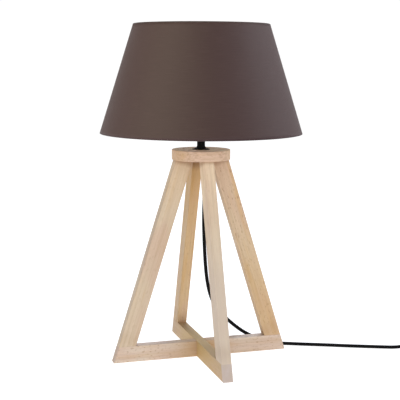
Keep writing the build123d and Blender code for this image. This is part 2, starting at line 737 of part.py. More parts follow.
def build_cord():
    switch_in = Vector(*SWITCH_PLACE, port_height)
    along = heading_vector(SWITCH_HEADING)
    # From the bush under the disc, down inside the legs, over the floor behind the right
    # rail and past the end of the foot, to the switch. These points are chosen by eye.
    drop = [
        (0, 0, cord_exit),
        (0, 0, 275),
        (2.2, -1, 244),
        (4.2, -1, 212),
        (6, -0.2, 180),
        (7.7, 0, 148),
        (10.5, 0.5, 118),
        (15.5, 1, 93),
        (26, 4.5, 71),
        (43, 10, 53.5),
        (62, 17, 36),
        (83, 22, 20.5),
        (106, 23, 9.5),
        (129, 17.5, cord_radius),
        (152, 7.5, cord_radius),
        (175, -3, cord_radius),
        (202, -14, cord_radius),
        (228, -26, cord_radius),
        (254, -37, cord_radius),
        (281, -48, cord_radius),
        (308, -58.5, cord_radius),
        switch_in - along * SWITCH_LEAD,
        switch_in,
    ]
    total = free_cord("cord_drop", drop)
    switch_out = switch_in + along * switch_span
    placing = Location((switch_out.X, switch_out.Y, 0), (0, 0, SWITCH_HEADING))
    end, length = build_coil(placing)
    total += switch_span + length
    start = Vector(end.position)
    onward = heading_vector(SWITCH_HEADING + 90)
    plug_in = Vector(*PLUG_PLACE, PLUG_THICKNESS / 2)
    inward = heading_vector(PLUG_HEADING)
    tail = [
        start,
        start + onward * TAIL_LEAD,
        (488.5, 1, 4.5),
        (484.5, 25, cord_radius),
        plug_in - inward * PLUG_LEAD,
        plug_in,
    ]
    total += free_cord("cord_tail", tail)
    print(f"cord: {total:.0f} from the bush under the disc to the plug's sleeve")
    inner = rod(CORD_DIAMETER, cord_exit, core_foot - TERMINAL_HEAD_HEIGHT - FLEX_END_GAP)
    save("cord_inner", inner)
    inside = along * (PORT_LENGTH + SHEATH_IN_SWITCH)
    into_switch = straight_rod(switch_in, switch_in + inside, CORD_DIAMETER)
    from_switch = straight_rod(switch_out - inside, switch_out, CORD_DIAMETER)
    into_plug = straight_rod(plug_in, plug_in + inward * SLEEVE_LENGTH, CORD_DIAMETER)
    save("cord_ends", into_switch, from_switch, into_plug)


# Switch, drawn along X with the cord's entry at its own origin and then placed


def lying_rod(diameter, low, high, y, z):
    start = Vector(low, y, z)
    return straight_rod(start, Vector(high, y, z), diameter)


def port_cone(tip, root):
    narrow, wide = PORT_TIP_DIAMETER / 2, PORT_ROOT_DIAMETER / 2
    outline = Polygon((tip, 0), (tip, narrow), (root, wide), (root, 0), align=None)
    return Pos(0, 0, port_height) * revolve(Plane.XZ * outline, Axis.X)


def switch_block(length, width, corner, low, high):
    outline = RectangleRounded(length, width, corner)
    return Pos(switch_span / 2, 0, low) * extrude(outline, high - low)


def switch_boss(place, low, high, diameter=SWITCH_BOSS_DIAMETER):
    return rod(diameter, low, high, switch_span / 2 + place[0], place[1])


def switch_shell():
    block = switch_block(SWITCH_LENGTH, SWITCH_WIDTH, SWITCH_CORNER, 0, SWITCH_HEIGHT)
    rims = block.edges().group_by(Axis.Z)
    block = fillet(rims[0] + rims[-1], SWITCH_EDGE)
    root = PORT_LENGTH + SWITCH_WALL
    block += port_cone(0, root) + port_cone(switch_span, switch_span - root)
    hollow = switch_block(
        SWITCH_LENGTH - 2 * SWITCH_WALL,
        SWITCH_WIDTH - 2 * SWITCH_WALL,
        SWITCH_CORNER - SWITCH_WALL,
        SWITCH_WALL,
        SWITCH_HEIGHT - SWITCH_WALL,
    )
    bore = lying_rod(CORD_DIAMETER + 2 * CORD_GAP, -CUT_PAST, switch_span + CUT_PAST, 0, port_height)
    return block - hollow - bore


def half_space(low, high):
    return Pos(switch_span / 2, 0, low) * Box(2 * switch_span, 2 * SWITCH_WIDTH, high - low, align=STANDING)


def small_screw(place):
    x, y = switch_span / 2 + place[0], place[1]
    head = SWITCH_SCREW_HEAD / 2
    shank = SWITCH_SCREW_DIAMETER / 2
    low = SWITCH_SCREW_SINK
    neck = low + head - shank
    top = low + SWITCH_SCREW_LENGTH
    screw = turned_polygon((0, low), (head, low), (shank, neck), (shank, top), (0, top))
    room = turned_polygon(
        (0, -CUT_PAST),
        (head + GLUE_GAP, -CUT_PAST),
        (head + GLUE_GAP, low),
        (shank + GLUE_GAP, neck),
        (shank + GLUE_GAP, top + GLUE_GAP),
        (0, top + GLUE_GAP),
    )
    slot = Box(head, CROSS_SLOT_WIDTH / 2, CROSS_SLOT_DEPTH)
    screw -= Pos(0, 0, low) * (slot + Rot(0, 0, 90) * slot)
    return Pos(x, y, 0) * screw, Pos(x, y, 0) * room


def rocker_outline():
    half = ROCKER_LENGTH / 2
    return Polygon(
        (-half, ROCKER_CROWN),
        (-half, ROCKER_SHOULDER),
        (-ROCKER_FOOT, -ROCKER_DEPTH),
        (ROCKER_FOOT, -ROCKER_DEPTH),
        (half, ROCKER_SHOULDER),
        (half, ROCKER_CROWN),
        (0, ROCKER_CROWN - ROCKER_DIP),
        align=None,
    )


def build_switch():
    middle = switch_span / 2
    pivot = SWITCH_HEIGHT - ROCKER_PIVOT_DROP
    shell = switch_shell()
    lower = shell - half_space(port_height, SWITCH_HEIGHT + CUT_PAST)
    upper = shell - half_space(-CUT_PAST, port_height)
    tilt = math.radians(ROCKER_SWING / 2)
    reach = ROCKER_LENGTH / 2 * math.cos(tilt) + ROCKER_CROWN * math.sin(tilt) + FIT_GAP
    window_width = ROCKER_WIDTH + 2 * FIT_GAP
    window = Box(2 * reach, window_width, SWITCH_WALL + 2 * CUT_PAST, align=STANDING)
    upper -= Pos(middle, 0, SWITCH_HEIGHT - SWITCH_WALL - CUT_PAST) * window
    cheek_low = pivot - PIVOT_DIAMETER
    for side in (-1, 1):
        place = side * (window_width + CHEEK_THICKNESS) / 2
        upper += Pos(middle, place, cheek_low) * Box(
            CHEEK_LENGTH, CHEEK_THICKNESS, SWITCH_HEIGHT - SWITCH_WALL - cheek_low, align=STANDING
        )
    socket = Pos(middle, 0, pivot) * Rot(90, 0, 0) * Cylinder(
        PIVOT_DIAMETER / 2 + PIVOT_GAP, window_width + 2 * CHEEK_THICKNESS
    )
    upper -= socket
    screws = []
    for place in SWITCH_SCREW_PLACES:
        screw, room = small_screw(place)
        lower = lower + switch_boss(place, SWITCH_WALL / 2, port_height) - room
        upper = upper + switch_boss(place, port_height, SWITCH_HEIGHT - SWITCH_WALL / 2) - room
        screws.append(screw)
    rocker = extrude(Plane.XZ * rocker_outline(), ROCKER_WIDTH / 2, both=True)
    rocker += Rot(90, 0, 0) * Cylinder(PIVOT_DIAMETER / 2, ROCKER_WIDTH + 2 * PIVOT_LENGTH)
    rocker = Pos(middle, 0, pivot) * Rot(0, ROCKER_SWING / 2, 0) * rocker
    contact = Box(*SWITCH_CONTACT_SIZE, align=STANDING)
    contacts = [Pos(middle + side * SWITCH_CONTACT_PLACE, 0, SWITCH_WALL) * contact for side in (-1, 1)]
    placing = Location((*SWITCH_PLACE, 0), (0, 0, SWITCH_HEADING))
    save("switch_base", placing * lower)
    save("switch_cover", placing * upper)
    save("switch_rocker", placing * rocker)
    save("switch_screws", *[placing * screw for screw in screws])
    save("switch_contacts", *[placing * part for part in contacts])


# Plug, drawn along X with the cord's entry at its own origin and then placed


def plug_body():
    neck, wide = PLUG_NECK_WIDTH / 2, PLUG_WIDTH / 2
    face = SLEEVE_LENGTH + PLUG_LENGTH
    shoulder_x = SLEEVE_LENGTH + PLUG_SHOULDER
    outline = Polygon(
        (SLEEVE_LENGTH, -neck), (shoulder_x, -wide), (face, -wide),
        (face, wide), (shoulder_x, wide), (SLEEVE_LENGTH, neck), align=None,
    )
    body = extrude(outline, PLUG_THICKNESS)
    upright = body.edges().filter_by(Axis.Z)
    body = fillet(upright, PLUG_EDGE)
    rims = body.edges().group_by(Axis.Z)
    return fillet(rims[0] + rims[-1], PLUG_EDGE)


def plug_sleeve():
    step = SLEEVE_LENGTH / (2 * SLEEVE_RIBS + 1)
    growth = (SLEEVE_ROOT_DIAMETER - SLEEVE_TIP_DIAMETER) / SLEEVE_LENGTH
    points = [(0, 0)]
    for index in range(2 * SLEEVE_RIBS + 1):
        for x in (index * step, (index + 1) * step):
            radius = (SLEEVE_TIP_DIAMETER + growth * x) / 2
            points.append((x, radius - (SLEEVE_RIB_DEPTH if index % 2 else 0)))
    points.append((SLEEVE_LENGTH, 0))
    outline = Plane.XZ * Polygon(*points, align=None)
    sleeve = Pos(0, 0, PLUG_THICKNESS / 2) * revolve(outline, Axis.X)
    wide = CORD_DIAMETER + 2 * CORD_GAP
    bore = lying_rod(wide, -CUT_PAST, SLEEVE_LENGTH + CUT_PAST, 0, PLUG_THICKNESS / 2)
    return sleeve - bore


def build_plug():
    face = SLEEVE_LENGTH + PLUG_LENGTH
    root = face - PIN_ROOT
    level = PLUG_THICKNESS / 2
    body = plug_body()
    pins, sleeves = [], []
    for side in (-1, 1):
        y = side * PIN_SPACING / 2
        shank = lying_rod(PIN_SHANK_DIAMETER, root, face + PIN_SLEEVE_LENGTH, y, level)
        tip = lying_rod(PIN_DIAMETER, face + PIN_SLEEVE_LENGTH, face + PIN_LENGTH, y, level)
        tip = chamfer(tip.edges().group_by(Axis.X)[-1], PIN_CHAMFER)
        pins.append(shank + tip)
        sleeve = lying_rod(PIN_SLEEVE_DIAMETER, face, face + PIN_SLEEVE_LENGTH, y, level)
        bore = lying_rod(PIN_SHANK_DIAMETER + 2 * GLUE_GAP, root - GLUE_GAP, face + PIN_LENGTH, y, level)
        sleeves.append(sleeve - bore)
        body -= bore
    placing = Location((*PLUG_PLACE, 0), (0, 0, PLUG_HEADING))
    save("plug_body", placing * body)
    save("plug_sleeve", placing * plug_sleeve())
    save("plug_pins", *[placing * pin for pin in pins])
    save("plug_pin_sleeves", *[placing * sleeve for sleeve in sleeves])


build_base()
build_disc()
build_stem()
build_holder()
build_contacts()
build_clamp()
build_bulb()
build_shade()
build_cord()
build_switch()
build_plug()
print(f"height {shade_top:.1f}, shoulder {shoulder:.1f}")
print(f"shade foot {shade_foot:.1f}, cord exit {cord_exit:.1f}")
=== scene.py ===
"""Dresses the bedside lamp: a beech pyramid on crossed rails, a taupe cotton shade and a black flex.

Everything is in metres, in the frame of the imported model. Each sub-assembly is a class that builds its own
meshes and finishes, and main() builds them in order.
"""

from __future__ import annotations

import logging
import math
from dataclasses import dataclass
from enum import Enum
from typing import Any, Callable, Sequence

import bmesh
import bpy
from mathutils import Matrix, Vector

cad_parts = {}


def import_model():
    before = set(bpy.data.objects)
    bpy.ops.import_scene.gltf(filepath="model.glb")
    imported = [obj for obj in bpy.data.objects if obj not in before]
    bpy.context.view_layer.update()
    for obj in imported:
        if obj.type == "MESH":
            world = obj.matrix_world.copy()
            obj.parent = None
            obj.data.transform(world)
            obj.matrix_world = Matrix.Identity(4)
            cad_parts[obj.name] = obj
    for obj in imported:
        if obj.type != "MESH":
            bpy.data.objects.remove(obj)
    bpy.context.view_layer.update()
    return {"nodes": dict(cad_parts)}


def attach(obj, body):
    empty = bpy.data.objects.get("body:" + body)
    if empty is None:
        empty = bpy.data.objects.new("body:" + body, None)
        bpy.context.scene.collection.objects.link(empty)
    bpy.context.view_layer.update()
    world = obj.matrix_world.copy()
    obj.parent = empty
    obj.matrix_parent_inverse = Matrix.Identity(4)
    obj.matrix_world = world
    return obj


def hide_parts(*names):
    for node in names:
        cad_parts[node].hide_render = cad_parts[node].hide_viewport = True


LOG = logging.getLogger("bedside_lamp")
MM = 0.001
FULL_TURN = 2 * math.pi
UP = Vector((0, 0, 1))
SHARP_ANGLE = math.radians(35)
THREAD_STEPS, RIDGE_STEPS = 72, 10
# Inputs of a Mix node that blends colours, and its output
MIX_FACTOR, MIX_FIRST, MIX_SECOND, MIX_COLOUR = 0, 6, 7, 2
Point = tuple[float, float, float]
Colour = tuple[float, float, float]
Outline = list[tuple[float, float]]
Mesh, Object, Material = bpy.types.Mesh, bpy.types.Object, bpy.types.Material
Nodes = dict[str, Object]


def shade_of(red: int, green: int, blue: int) -> Colour:
    """Turns a colour as a screen shows it into the linear colour that a shader takes.

    Args:
        red: from 0 to 255.
        green: from 0 to 255.
        blue: from 0 to 255.

    Returns:
        The linear colour, each part from 0 to 1.
    """
    parts = []
    for value in (red, green, blue):
        share = value / 255
        parts.append(share / 12.92 if share <= 0.04045 else ((share + 0.055) / 1.055) ** 2.4)
    return (parts[0], parts[1], parts[2])


# Node trees


def math_method(operation: str, reflected: bool = False) -> Callable[..., "Wire"]:
    """Makes a method of Wire that adds one Math node.

    Args:
        operation: the node's operation.
        reflected: whether the wire is the second value, as in 1 - mask.

    Returns:
        The method.
    """

    def method(self: "Wire", other: Any = 0.0) -> "Wire":
        """Adds the Math node and returns its value."""
        first, second = (other, self) if reflected else (self, other)
        return self.board.add("ShaderNodeMath", {"operation": operation}, {0: first, 1: second})

    return method


class Wire:
    """A value on its way between nodes. Python's operators add Math nodes to its tree."""

    def __init__(self, board: "Board", socket: bpy.types.NodeSocket) -> None:
        """Wraps an output socket of a node on a board."""
        self.board = board
        self.socket = socket

    __add__, __radd__ = math_method("ADD"), math_method("ADD", reflected=True)
    __sub__, __rsub__ = math_method("SUBTRACT"), math_method("SUBTRACT", reflected=True)
    __mul__, __rmul__ = math_method("MULTIPLY"), math_method("MULTIPLY", reflected=True)
    __pow__, __abs__ = math_method("POWER"), math_method("ABSOLUTE")
    sine, cosine = math_method("SINE"), math_method("COSINE")
    over, at_least = math_method("GREATER_THAN"), math_method("MAXIMUM")

    def fade(self, low: float, high: float) -> "Wire":
        """Returns a soft step that goes from 0 at low to 1 at high."""
        links = dict(enumerate((self, low, high, 0.0, 1.0)))
        return self.board.add("ShaderNodeMapRange", {"interpolation_type": "SMOOTHSTEP"}, links)

    def other(self, name: str) -> "Wire":
        """Returns another output of the node that this value comes from."""
        return Wire(self.board, self.socket.node.outputs[name])


class Board:
    """A node tree that is filled by calls."""

    def __init__(self, tree: bpy.types.NodeTree) -> None:
        """Starts with an empty tree."""
        self.tree = tree
        tree.nodes.clear()

    def add(self, kind: str, settings: dict[str, Any] | None = None, links: dict[Any, Any] | None = None,
            out: int | str = 0) -> Wire:
        """Adds a node, sets it and links it.

        Args:
            kind: the node's type.
            settings: its properties, which are set first.
            links: values or wires, by the input's index or name.
            out: the output that is returned.

        Returns:
            The wire from that output.
        """
        node = self.tree.nodes.new(kind)
        for name, value in (settings or {}).items():
            setattr(node, name, value)
        for key, value in (links or {}).items():
            socket = node.inputs[key]
            if isinstance(value, Wire):
                self.tree.links.new(value.socket, socket)
            else:
                socket.default_value = value
        return Wire(self, node.outputs[out]) if len(node.outputs) else Wire(self, node.inputs[0])

    def mix(self, factor: Any, first: Any, second: Any) -> Wire:
        """Blends two colours.

        Args:
            factor: how much of the second colour.
            first: a colour or a wire.
            second: a colour or a wire.

        Returns:
            The blended colour.
        """
        full = [value if isinstance(value, Wire) else (*value, 1.0) for value in (first, second)]
        settings = {"data_type": "RGBA", "blend_type": "MIX", "clamp_result": False}
        links = {MIX_FACTOR: factor, MIX_FIRST: full[0], MIX_SECOND: full[1]}
        return self.add("ShaderNodeMix", settings, links, MIX_COLOUR)

    def noise(self, place: Wire, scale: float | Point, detail: float = 2.0, rough: float = 0.5) -> Wire:
        """Returns a soft random value around 0.5, at one scale or at its own along each axis."""
        if isinstance(scale, tuple):
            place, scale = self.stretched(place, scale), 1.0
        links = {"Vector": place, "Scale": scale, "Detail": detail, "Roughness": rough}
        return self.add("ShaderNodeTexNoise", {"noise_dimensions": "3D"}, links)

    def stretched(self, place: Wire, scale: Point) -> Wire:
        """Returns a place multiplied by its own scale along each axis."""
        return self.add("ShaderNodeVectorMath", {"operation": "MULTIPLY"}, {0: place, 1: scale})

    def split(self, place: Wire) -> tuple[Wire, Wire, Wire]:
        """Returns the X, Y and Z of a place."""
        parts = self.add("ShaderNodeSeparateXYZ", None, {0: place})
        return parts, parts.other("Y"), parts.other("Z")

    def place(self, across: Any = 0.0, along: Any = 0.0, high: Any = 0.0) -> Wire:
        """Returns a place from its X, Y and Z."""
        return self.add("ShaderNodeCombineXYZ", None, {"X": across, "Y": along, "Z": high})

    def bump(self, height: Wire, depth: float, strength: float = 1.0) -> Wire:
        """Returns the normal of a surface that a height moves by up to depth."""
        return self.add("ShaderNodeBump", None, {"Strength": strength, "Distance": depth, "Height": height})


# Finishes


class Finish:
    """What a piece is made of or coated with: one Principled shader, fed by patterns."""

    name: str
    coordinates = "Object"

    def steady(self) -> dict[str, Any]:
        """Returns the values that are the same all over the surface, by socket."""
        return {}

    def pattern(self, board: Board, place: Wire) -> dict[str, Wire]:
        """Works out what changes over the surface.

        Args:
            board: the material's board.
            place: where a point lies on the piece.

        Returns:
            The wires, by the name of the shader's socket.
        """
        raise NotImplementedError

    def dress(self) -> Material:
        """Builds the material.

        Returns:
            The finished material.
        """
        material = bpy.data.materials.new(self.name)
        material.use_nodes = True
        board = Board(material.node_tree)
        shader = board.add("ShaderNodeBsdfPrincipled", None, self.steady())
        board.add("ShaderNodeOutputMaterial", None, {"Surface": shader})
        place = board.add("ShaderNodeTexCoord", None, None, self.coordinates)
        for name, wire in self.pattern(board, place).items():
            board.tree.links.new(wire.socket, shader.socket.node.inputs[name])
        return material


BLUSH = shade_of(205, 172, 152)
OCHRE = shade_of(196, 156, 100)
BROWN = shade_of(140, 100, 66)


@dataclass(frozen=True)
class Band:
    """A stretch of a board, on both sides of its middle, where another tone comes in."""

    start: float
    full: float
    amount: float
    tone: Colour = BROWN


class BeechLayer(Enum):
    """A random layer of beech: marks per metre along and across the grain, detail and roughness."""

    PATCHES = (12.0, 34.0, 2.0, 0.5)
    FIGURE = (11.0, 125.0, 3.0, 0.55)
    RINGS = (6.0, 330.0, 2.0, 0.5)
    LINES = (14.0, 900.0, 3.0, 0.62)
    FINE = (45.0, 2600.0, 2.0, 0.5)
    SPECKS = (170.0, 460.0, 1.0, 0.5)

    def spread(self, board: Board, along: Wire) -> Wire:
        """Returns the layer's value at a place that is turned so that the grain runs along X."""
        lengthwise, across, detail, rough = self.value
        return board.noise(along, (lengthwise, across, across), detail, rough)


@dataclass(frozen=True)
class BeechFinish(Finish):
    """Pale natural beech under a matt lacquer, with its grain along one direction."""

    name: str
    grain: Point
    seed: float
    tone: Colour
    streaks: float = 0.35
    flecks: float = 0.30
    bands: tuple[Band, ...] = ()
    mitre: float = 0.0  # how far the ends slope in for each unit of height
    banding: float = 0.50
    blush: float = 0.45
    lining: float = 0.40
    graining: float = 0.12
    ground: float = 0.08
    pores: Point = (330.0, 1500.0, 1500.0)
    offset: Point = (1.0, 0.37, 0.71)  # the seed moves the pattern along this
    relief: float = 0.18 * MM

    def steady(self) -> dict[str, Any]:
        """Returns the lacquer's low gloss."""
        return {"Specular IOR Level": 0.22}

    def pattern(self, board: Board, place: Wire) -> dict[str, Wire]:
        """Lays patches, streaks, rings, lines, pores and flecks over the board's own tone.

        Args:
            board: the material's board.
            place: where a point lies on the piece.

        Returns:
            The wires, by the name of the shader's socket.
        """
        grain = Vector(self.grain).normalized()
        turn = grain.rotation_difference(Vector((1, 0, 0))).to_euler("XYZ")
        shift = tuple(self.seed * part for part in self.offset)
        links = {"Vector": place, "Rotation": tuple(turn), "Location": shift}
        along = board.add("ShaderNodeMapping", {"vector_type": "POINT"}, links)
        patches, figure, rings, lines, fine, specks = (layer.spread(board, along) for layer in BeechLayer)
        cells = board.add("ShaderNodeTexVoronoi", {"feature": "F1"}, {
            "Vector": board.stretched(along, self.pores), "Scale": 1.0, "Randomness": 1.0,
        })
        fleck = (1 - cells.fade(0.10, 0.26)) * patches.fade(0.38, 0.60)
        tint = board.mix(patches.fade(0.36, 0.64) * self.blush, self.tone, BLUSH)
        tint = board.mix(figure.fade(0.46, 0.72) * self.streaks, tint, OCHRE)
        lines_in = (rings - 0.5) * self.banding + (lines - 0.5) * self.lining
        tint = board.mix(lines_in + (fine - 0.5) * self.graining + self.ground, tint, BROWN)
        tint = board.mix((fleck * 0.7 + specks.fade(0.58, 0.72)) * self.flecks, tint, BROWN)
        links = {0: place, 1: grain}
        reach = abs(board.add("ShaderNodeVectorMath", {"operation": "DOT_PRODUCT"}, links, "Value"))
        reach = reach + board.split(place)[2] * self.mitre
        for band in self.bands:
            share = reach.fade(band.start, band.full) * (0.6 + figure * 0.8) * band.amount
            tint = board.mix(share, tint, band.tone)
        height = rings * 0.4 + lines * 0.5 + fine * 0.3 - fleck * 0.5
        return {
            "Base Color": tint,
            "Roughness": 0.52 + (fine - 0.5) * 0.22 + fleck * 0.08,
            "Normal": board.bump(height, self.relief, 0.5),
        }


@dataclass(frozen=True)
class CottonFinish(Finish):
    """Plain woven taupe cotton with slubs, laid out on the piece's own UV map in metres."""

    name: str = "woven_cotton"
    thread: Colour = shade_of(68, 49, 50)
    slub: Colour = shade_of(80, 60, 60)
    hollow: Colour = shade_of(52, 37, 38)
    pitch: float = 0.55 * MM
    weft_marks: Point = (40.0, 1500.0, 1.0)
    warp_marks: Point = (1300.0, 40.0, 1.0)
    broad_marks: Point = (7.0, 11.0, 1.0)
    relief: float = 0.10 * MM
    coordinates = "UV"

    def steady(self) -> dict[str, Any]:
        """Returns the fibres' soft sheen."""
        return {"Sheen Weight": 0.03, "Sheen Roughness": 0.45, "Specular IOR Level": 0.27}

    def pattern(self, board: Board, place: Wire) -> dict[str, Wire]:
        """Weaves the threads, with slubs along both of their ways.

        Args:
            board: the material's board.
            place: where a point lies on the flat cloth.

        Returns:
            The wires, by the name of the shader's socket.
        """
        across, up, _ = board.split(place)
        rate = FULL_TURN / self.pitch
        weave = (up * rate).sine() * (across * rate).sine()
        slubs = board.noise(place, self.weft_marks, 2.0, 0.6)
        ends = board.noise(place, self.warp_marks, 2.0, 0.6)
        broad = board.noise(place, self.broad_marks)
        tint = board.mix(slubs.fade(0.48, 0.74) * 0.45, self.thread, self.slub)
        thin = (1 - slubs.fade(0.28, 0.50)) * 0.30 + ends.fade(0.5, 0.8) * 0.12
        tint = board.mix(thin, tint, self.hollow)
        tint = board.mix(weave * 0.06 + 0.06, tint, self.hollow)
        tint = board.mix((broad - 0.5) * 0.12 + 0.03, tint, self.slub)
        height = weave * 0.5 + slubs * 0.7 + ends * 0.4
        return {
            "Base Color": tint,
            "Roughness": 0.62 + (slubs - 0.5) * 0.10,
            "Normal": board.bump(height, self.relief, 0.6),
        }


class Grain(Enum):
    """A moulded surface's grain from its tool: scale, relief and swing of the roughness."""

    SPARK = (2400.0, 0.00007, 0.10)
    SATIN = (900.0, 0.00003, 0.05)
    SMOOTH = (160.0, 0.00001, 0.02)


@dataclass(frozen=True)
class MouldedFinish(Finish):
    """Moulded plastic, rubber, fibre or ceramic, with the tool's grain and slight handling marks."""

    name: str
    colour: Colour
    rough: float = 0.45
    grain: Grain = Grain.SATIN
    gloss: float = 0.45
    glow: float = 0.0  # light that comes through a thin translucent wall
    worn: float = 0.10
    marks: Point = (70.0, 95.0, 60.0)

    def steady(self) -> dict[str, Any]:
        """Returns the gloss, and a translucent wall's light."""
        fixed: dict[str, Any] = {"Specular IOR Level": self.gloss}
        if self.glow:
            fixed |= {"Subsurface Weight": self.glow, "Subsurface Scale": 2 * MM}
        return fixed

    def pattern(self, board: Board, place: Wire) -> dict[str, Wire]:
        """Lays the tool's grain and the handling marks.

        Args:
            board: the material's board.
            place: where a point lies on the piece.

        Returns:
            The wires, by the name of the shader's socket.
        """
        scale, depth, swing = self.grain.value
        grain = board.noise(place, scale, 2.0)
        marks = board.noise(place, self.marks, 3.0, 0.6)
        lighter = tuple(min(1.0, part * 1.25 + 0.006) for part in self.colour)
        return {
            "Base Color": board.mix(marks.fade(0.45, 0.75) * self.worn + grain * 0.05, self.colour, lighter),
            "Roughness": self.rough + (grain - 0.5) * swing * 2 + (marks - 0.5) * self.worn,
            "Normal": board.bump(grain, depth),
        }


@dataclass(frozen=True)
class MetalFinish(Finish):
    """Plated or bare metal with fine draw lines and slight tarnish."""

    name: str
    colour: Colour
    dull: Colour
    rough: float = 0.28
    lines: Point = (40.0, 40.0, 2600.0)
    tarnish: float = 240.0
    relief: float = 0.02 * MM

    def steady(self) -> dict[str, Any]:
        """Returns that it is metal all over."""
        return {"Metallic": 1.0}

    def pattern(self, board: Board, place: Wire) -> dict[str, Wire]:
        """Lays the draw lines and the tarnish.

        Args:
            board: the material's board.
            place: where a point lies on the piece.

        Returns:
            The wires, by the name of the shader's socket.
        """
        lines = board.noise(place, self.lines)
        tarnish = board.noise(place, self.tarnish, 3.0, 0.6)
        return {
            "Base Color": board.mix(tarnish.fade(0.45, 0.75) * 0.5, self.colour, self.dull),
            "Roughness": self.rough + (lines - 0.5) * 0.16 + (tarnish - 0.5) * 0.14,
            "Normal": board.bump(lines, self.relief, 0.6),
        }


@dataclass(frozen=True)
class FloorFinish(Finish):
    """A matt pale floor that glows, so that it stays white round the lamp."""

    name: str = "floor"
    glow: float = 1.0
    dark: Colour = (0.30, 0.30, 0.30)
    light: Colour = (0.32, 0.32, 0.32)
    specks: float = 30.0
    rough: float = 0.85

    def steady(self) -> dict[str, Any]:
        """Returns the glow and the low gloss."""
        white = (1.0, 1.0, 1.0, 1.0)
        return {"Specular IOR Level": 0.1, "Emission Strength": self.glow, "Emission Color": white}

    def pattern(self, board: Board, place: Wire) -> dict[str, Wire]:
        """Lays faint specks.

        Args:
            board: the material's board.
            place: where a point lies on the floor.

        Returns:
            The wires, by the name of the shader's socket.
        """
        speck = board.noise(place, self.specks)
        return {"Base Color": board.mix(speck, self.dark, self.light), "Roughness": self.rough + speck * 0.05}


# Meshes


def coat(mesh: Mesh, material: Material) -> None:
    """Gives a mesh one finish in place of any other."""
    mesh.materials.clear()
    mesh.materials.append(material)


def linked(name: str, data: bpy.types.ID) -> Object:
    """Puts data in the scene as a new object."""
    thing = bpy.data.objects.new(name, data)
    bpy.context.scene.collection.objects.link(thing)
    return thing


def evaluated(piece: Object) -> Mesh:
    """Returns a piece's mesh with its modifiers applied, and clears them."""
    bpy.context.view_layer.update()
    graph = bpy.context.evaluated_depsgraph_get()
    mesh = bpy.data.meshes.new_from_object(piece.evaluated_get(graph))
    piece.modifiers.clear()
    return mesh


def new_piece(name: str, mesh: Mesh, material: Material | None = None) -> Object:
    """Puts a mesh in the scene at the origin, shaded smooth with its sharp edges kept.

    Args:
        name: the piece's name.
        mesh: its mesh, already in place.
        material: its one finish, unless the mesh brings its own.

    Returns:
        The new piece.
    """
    piece = linked(name, mesh)
    mesh.name = name
    if material:
        coat(mesh, material)
    mesh.shade_smooth()
    mesh.set_sharp_from_angle(angle=SHARP_ANGLE)
    return piece


def lathe(outline: Outline, steps: int = 96) -> Mesh:
    """Turns a closed outline round the Z axis.

    Args:
        outline: (radius, height) pairs in millimetres. A radius of 0 makes a pole.
        steps: facets round the axis.

    Returns:
        The closed mesh, in metres.
    """
    build = bmesh.new()
    turns = [FULL_TURN * step / steps for step in range(steps)]
    rings = []
    for radius, height in outline:
        reach = radius * MM
        spots = [(reach * math.cos(turn), reach * math.sin(turn)) for turn in turns]
        rings.append([build.verts.new((*spot, height * MM)) for spot in (spots if radius > 0 else spots[:1])])
    for low, high in zip(rings, rings[1:] + rings[:1]):
        if len(low) == 1 and len(high) == 1:
            continue
        for step in range(steps):
            after = (step + 1) % steps
            corners = ((low, step), (low, after), (high, after), (high, step))
            build.faces.new(list(dict.fromkeys(ring[place % len(ring)] for ring, place in corners)))
    bmesh.ops.recalc_face_normals(build, faces=build.faces)
    mesh = bpy.data.meshes.new("turned")
    build.to_mesh(mesh)
    build.free()
    return mesh


def arc(centre: tuple[float, float], radius: float, start: float, end: float, steps: int = 8) -> Outline:
    """Returns points along an arc of an outline, with its angles in degrees."""
    points = []
    for step in range(steps + 1):
        angle = math.radians(start + (end - start) * step / steps)
        points.append((centre[0] + radius * math.cos(angle), centre[1] + radius * math.sin(angle)))
    return points


def joined(name: str, meshes: Sequence[Mesh]) -> Mesh:
    """Puts several closed meshes together in one."""
    build = bmesh.new()
    for mesh in meshes:
        build.from_mesh(mesh)
    together = bpy.data.meshes.new(name)
    build.to_mesh(together)
    build.free()
    return together


def finish_piece(piece: Object, body: str, slot: str, *nodes: str) -> Object:
    """Seats a piece on its body and hides the nodes that it stands for."""
    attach(piece, body)
    if nodes:
        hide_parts(*nodes)
    LOG.info("%s: %d faces on %s", piece.name, len(getattr(piece.data, "polygons", ())), body)
    return piece


def dress_nodes(nodes: Nodes, finish: Finish | Material, *names: str) -> None:
    """Gives CAD nodes their finish in place of the plain one.

    Args:
        nodes: the frame's nodes by name.
        finish: a finish, or a material that is already built.
        names: the nodes to dress.
    """
    material = finish.dress() if isinstance(finish, Finish) else finish
    for name in names:
        coat(nodes[name].data, material)
        LOG.info("%s dressed in %s", name, material.name)


# Geometry Nodes


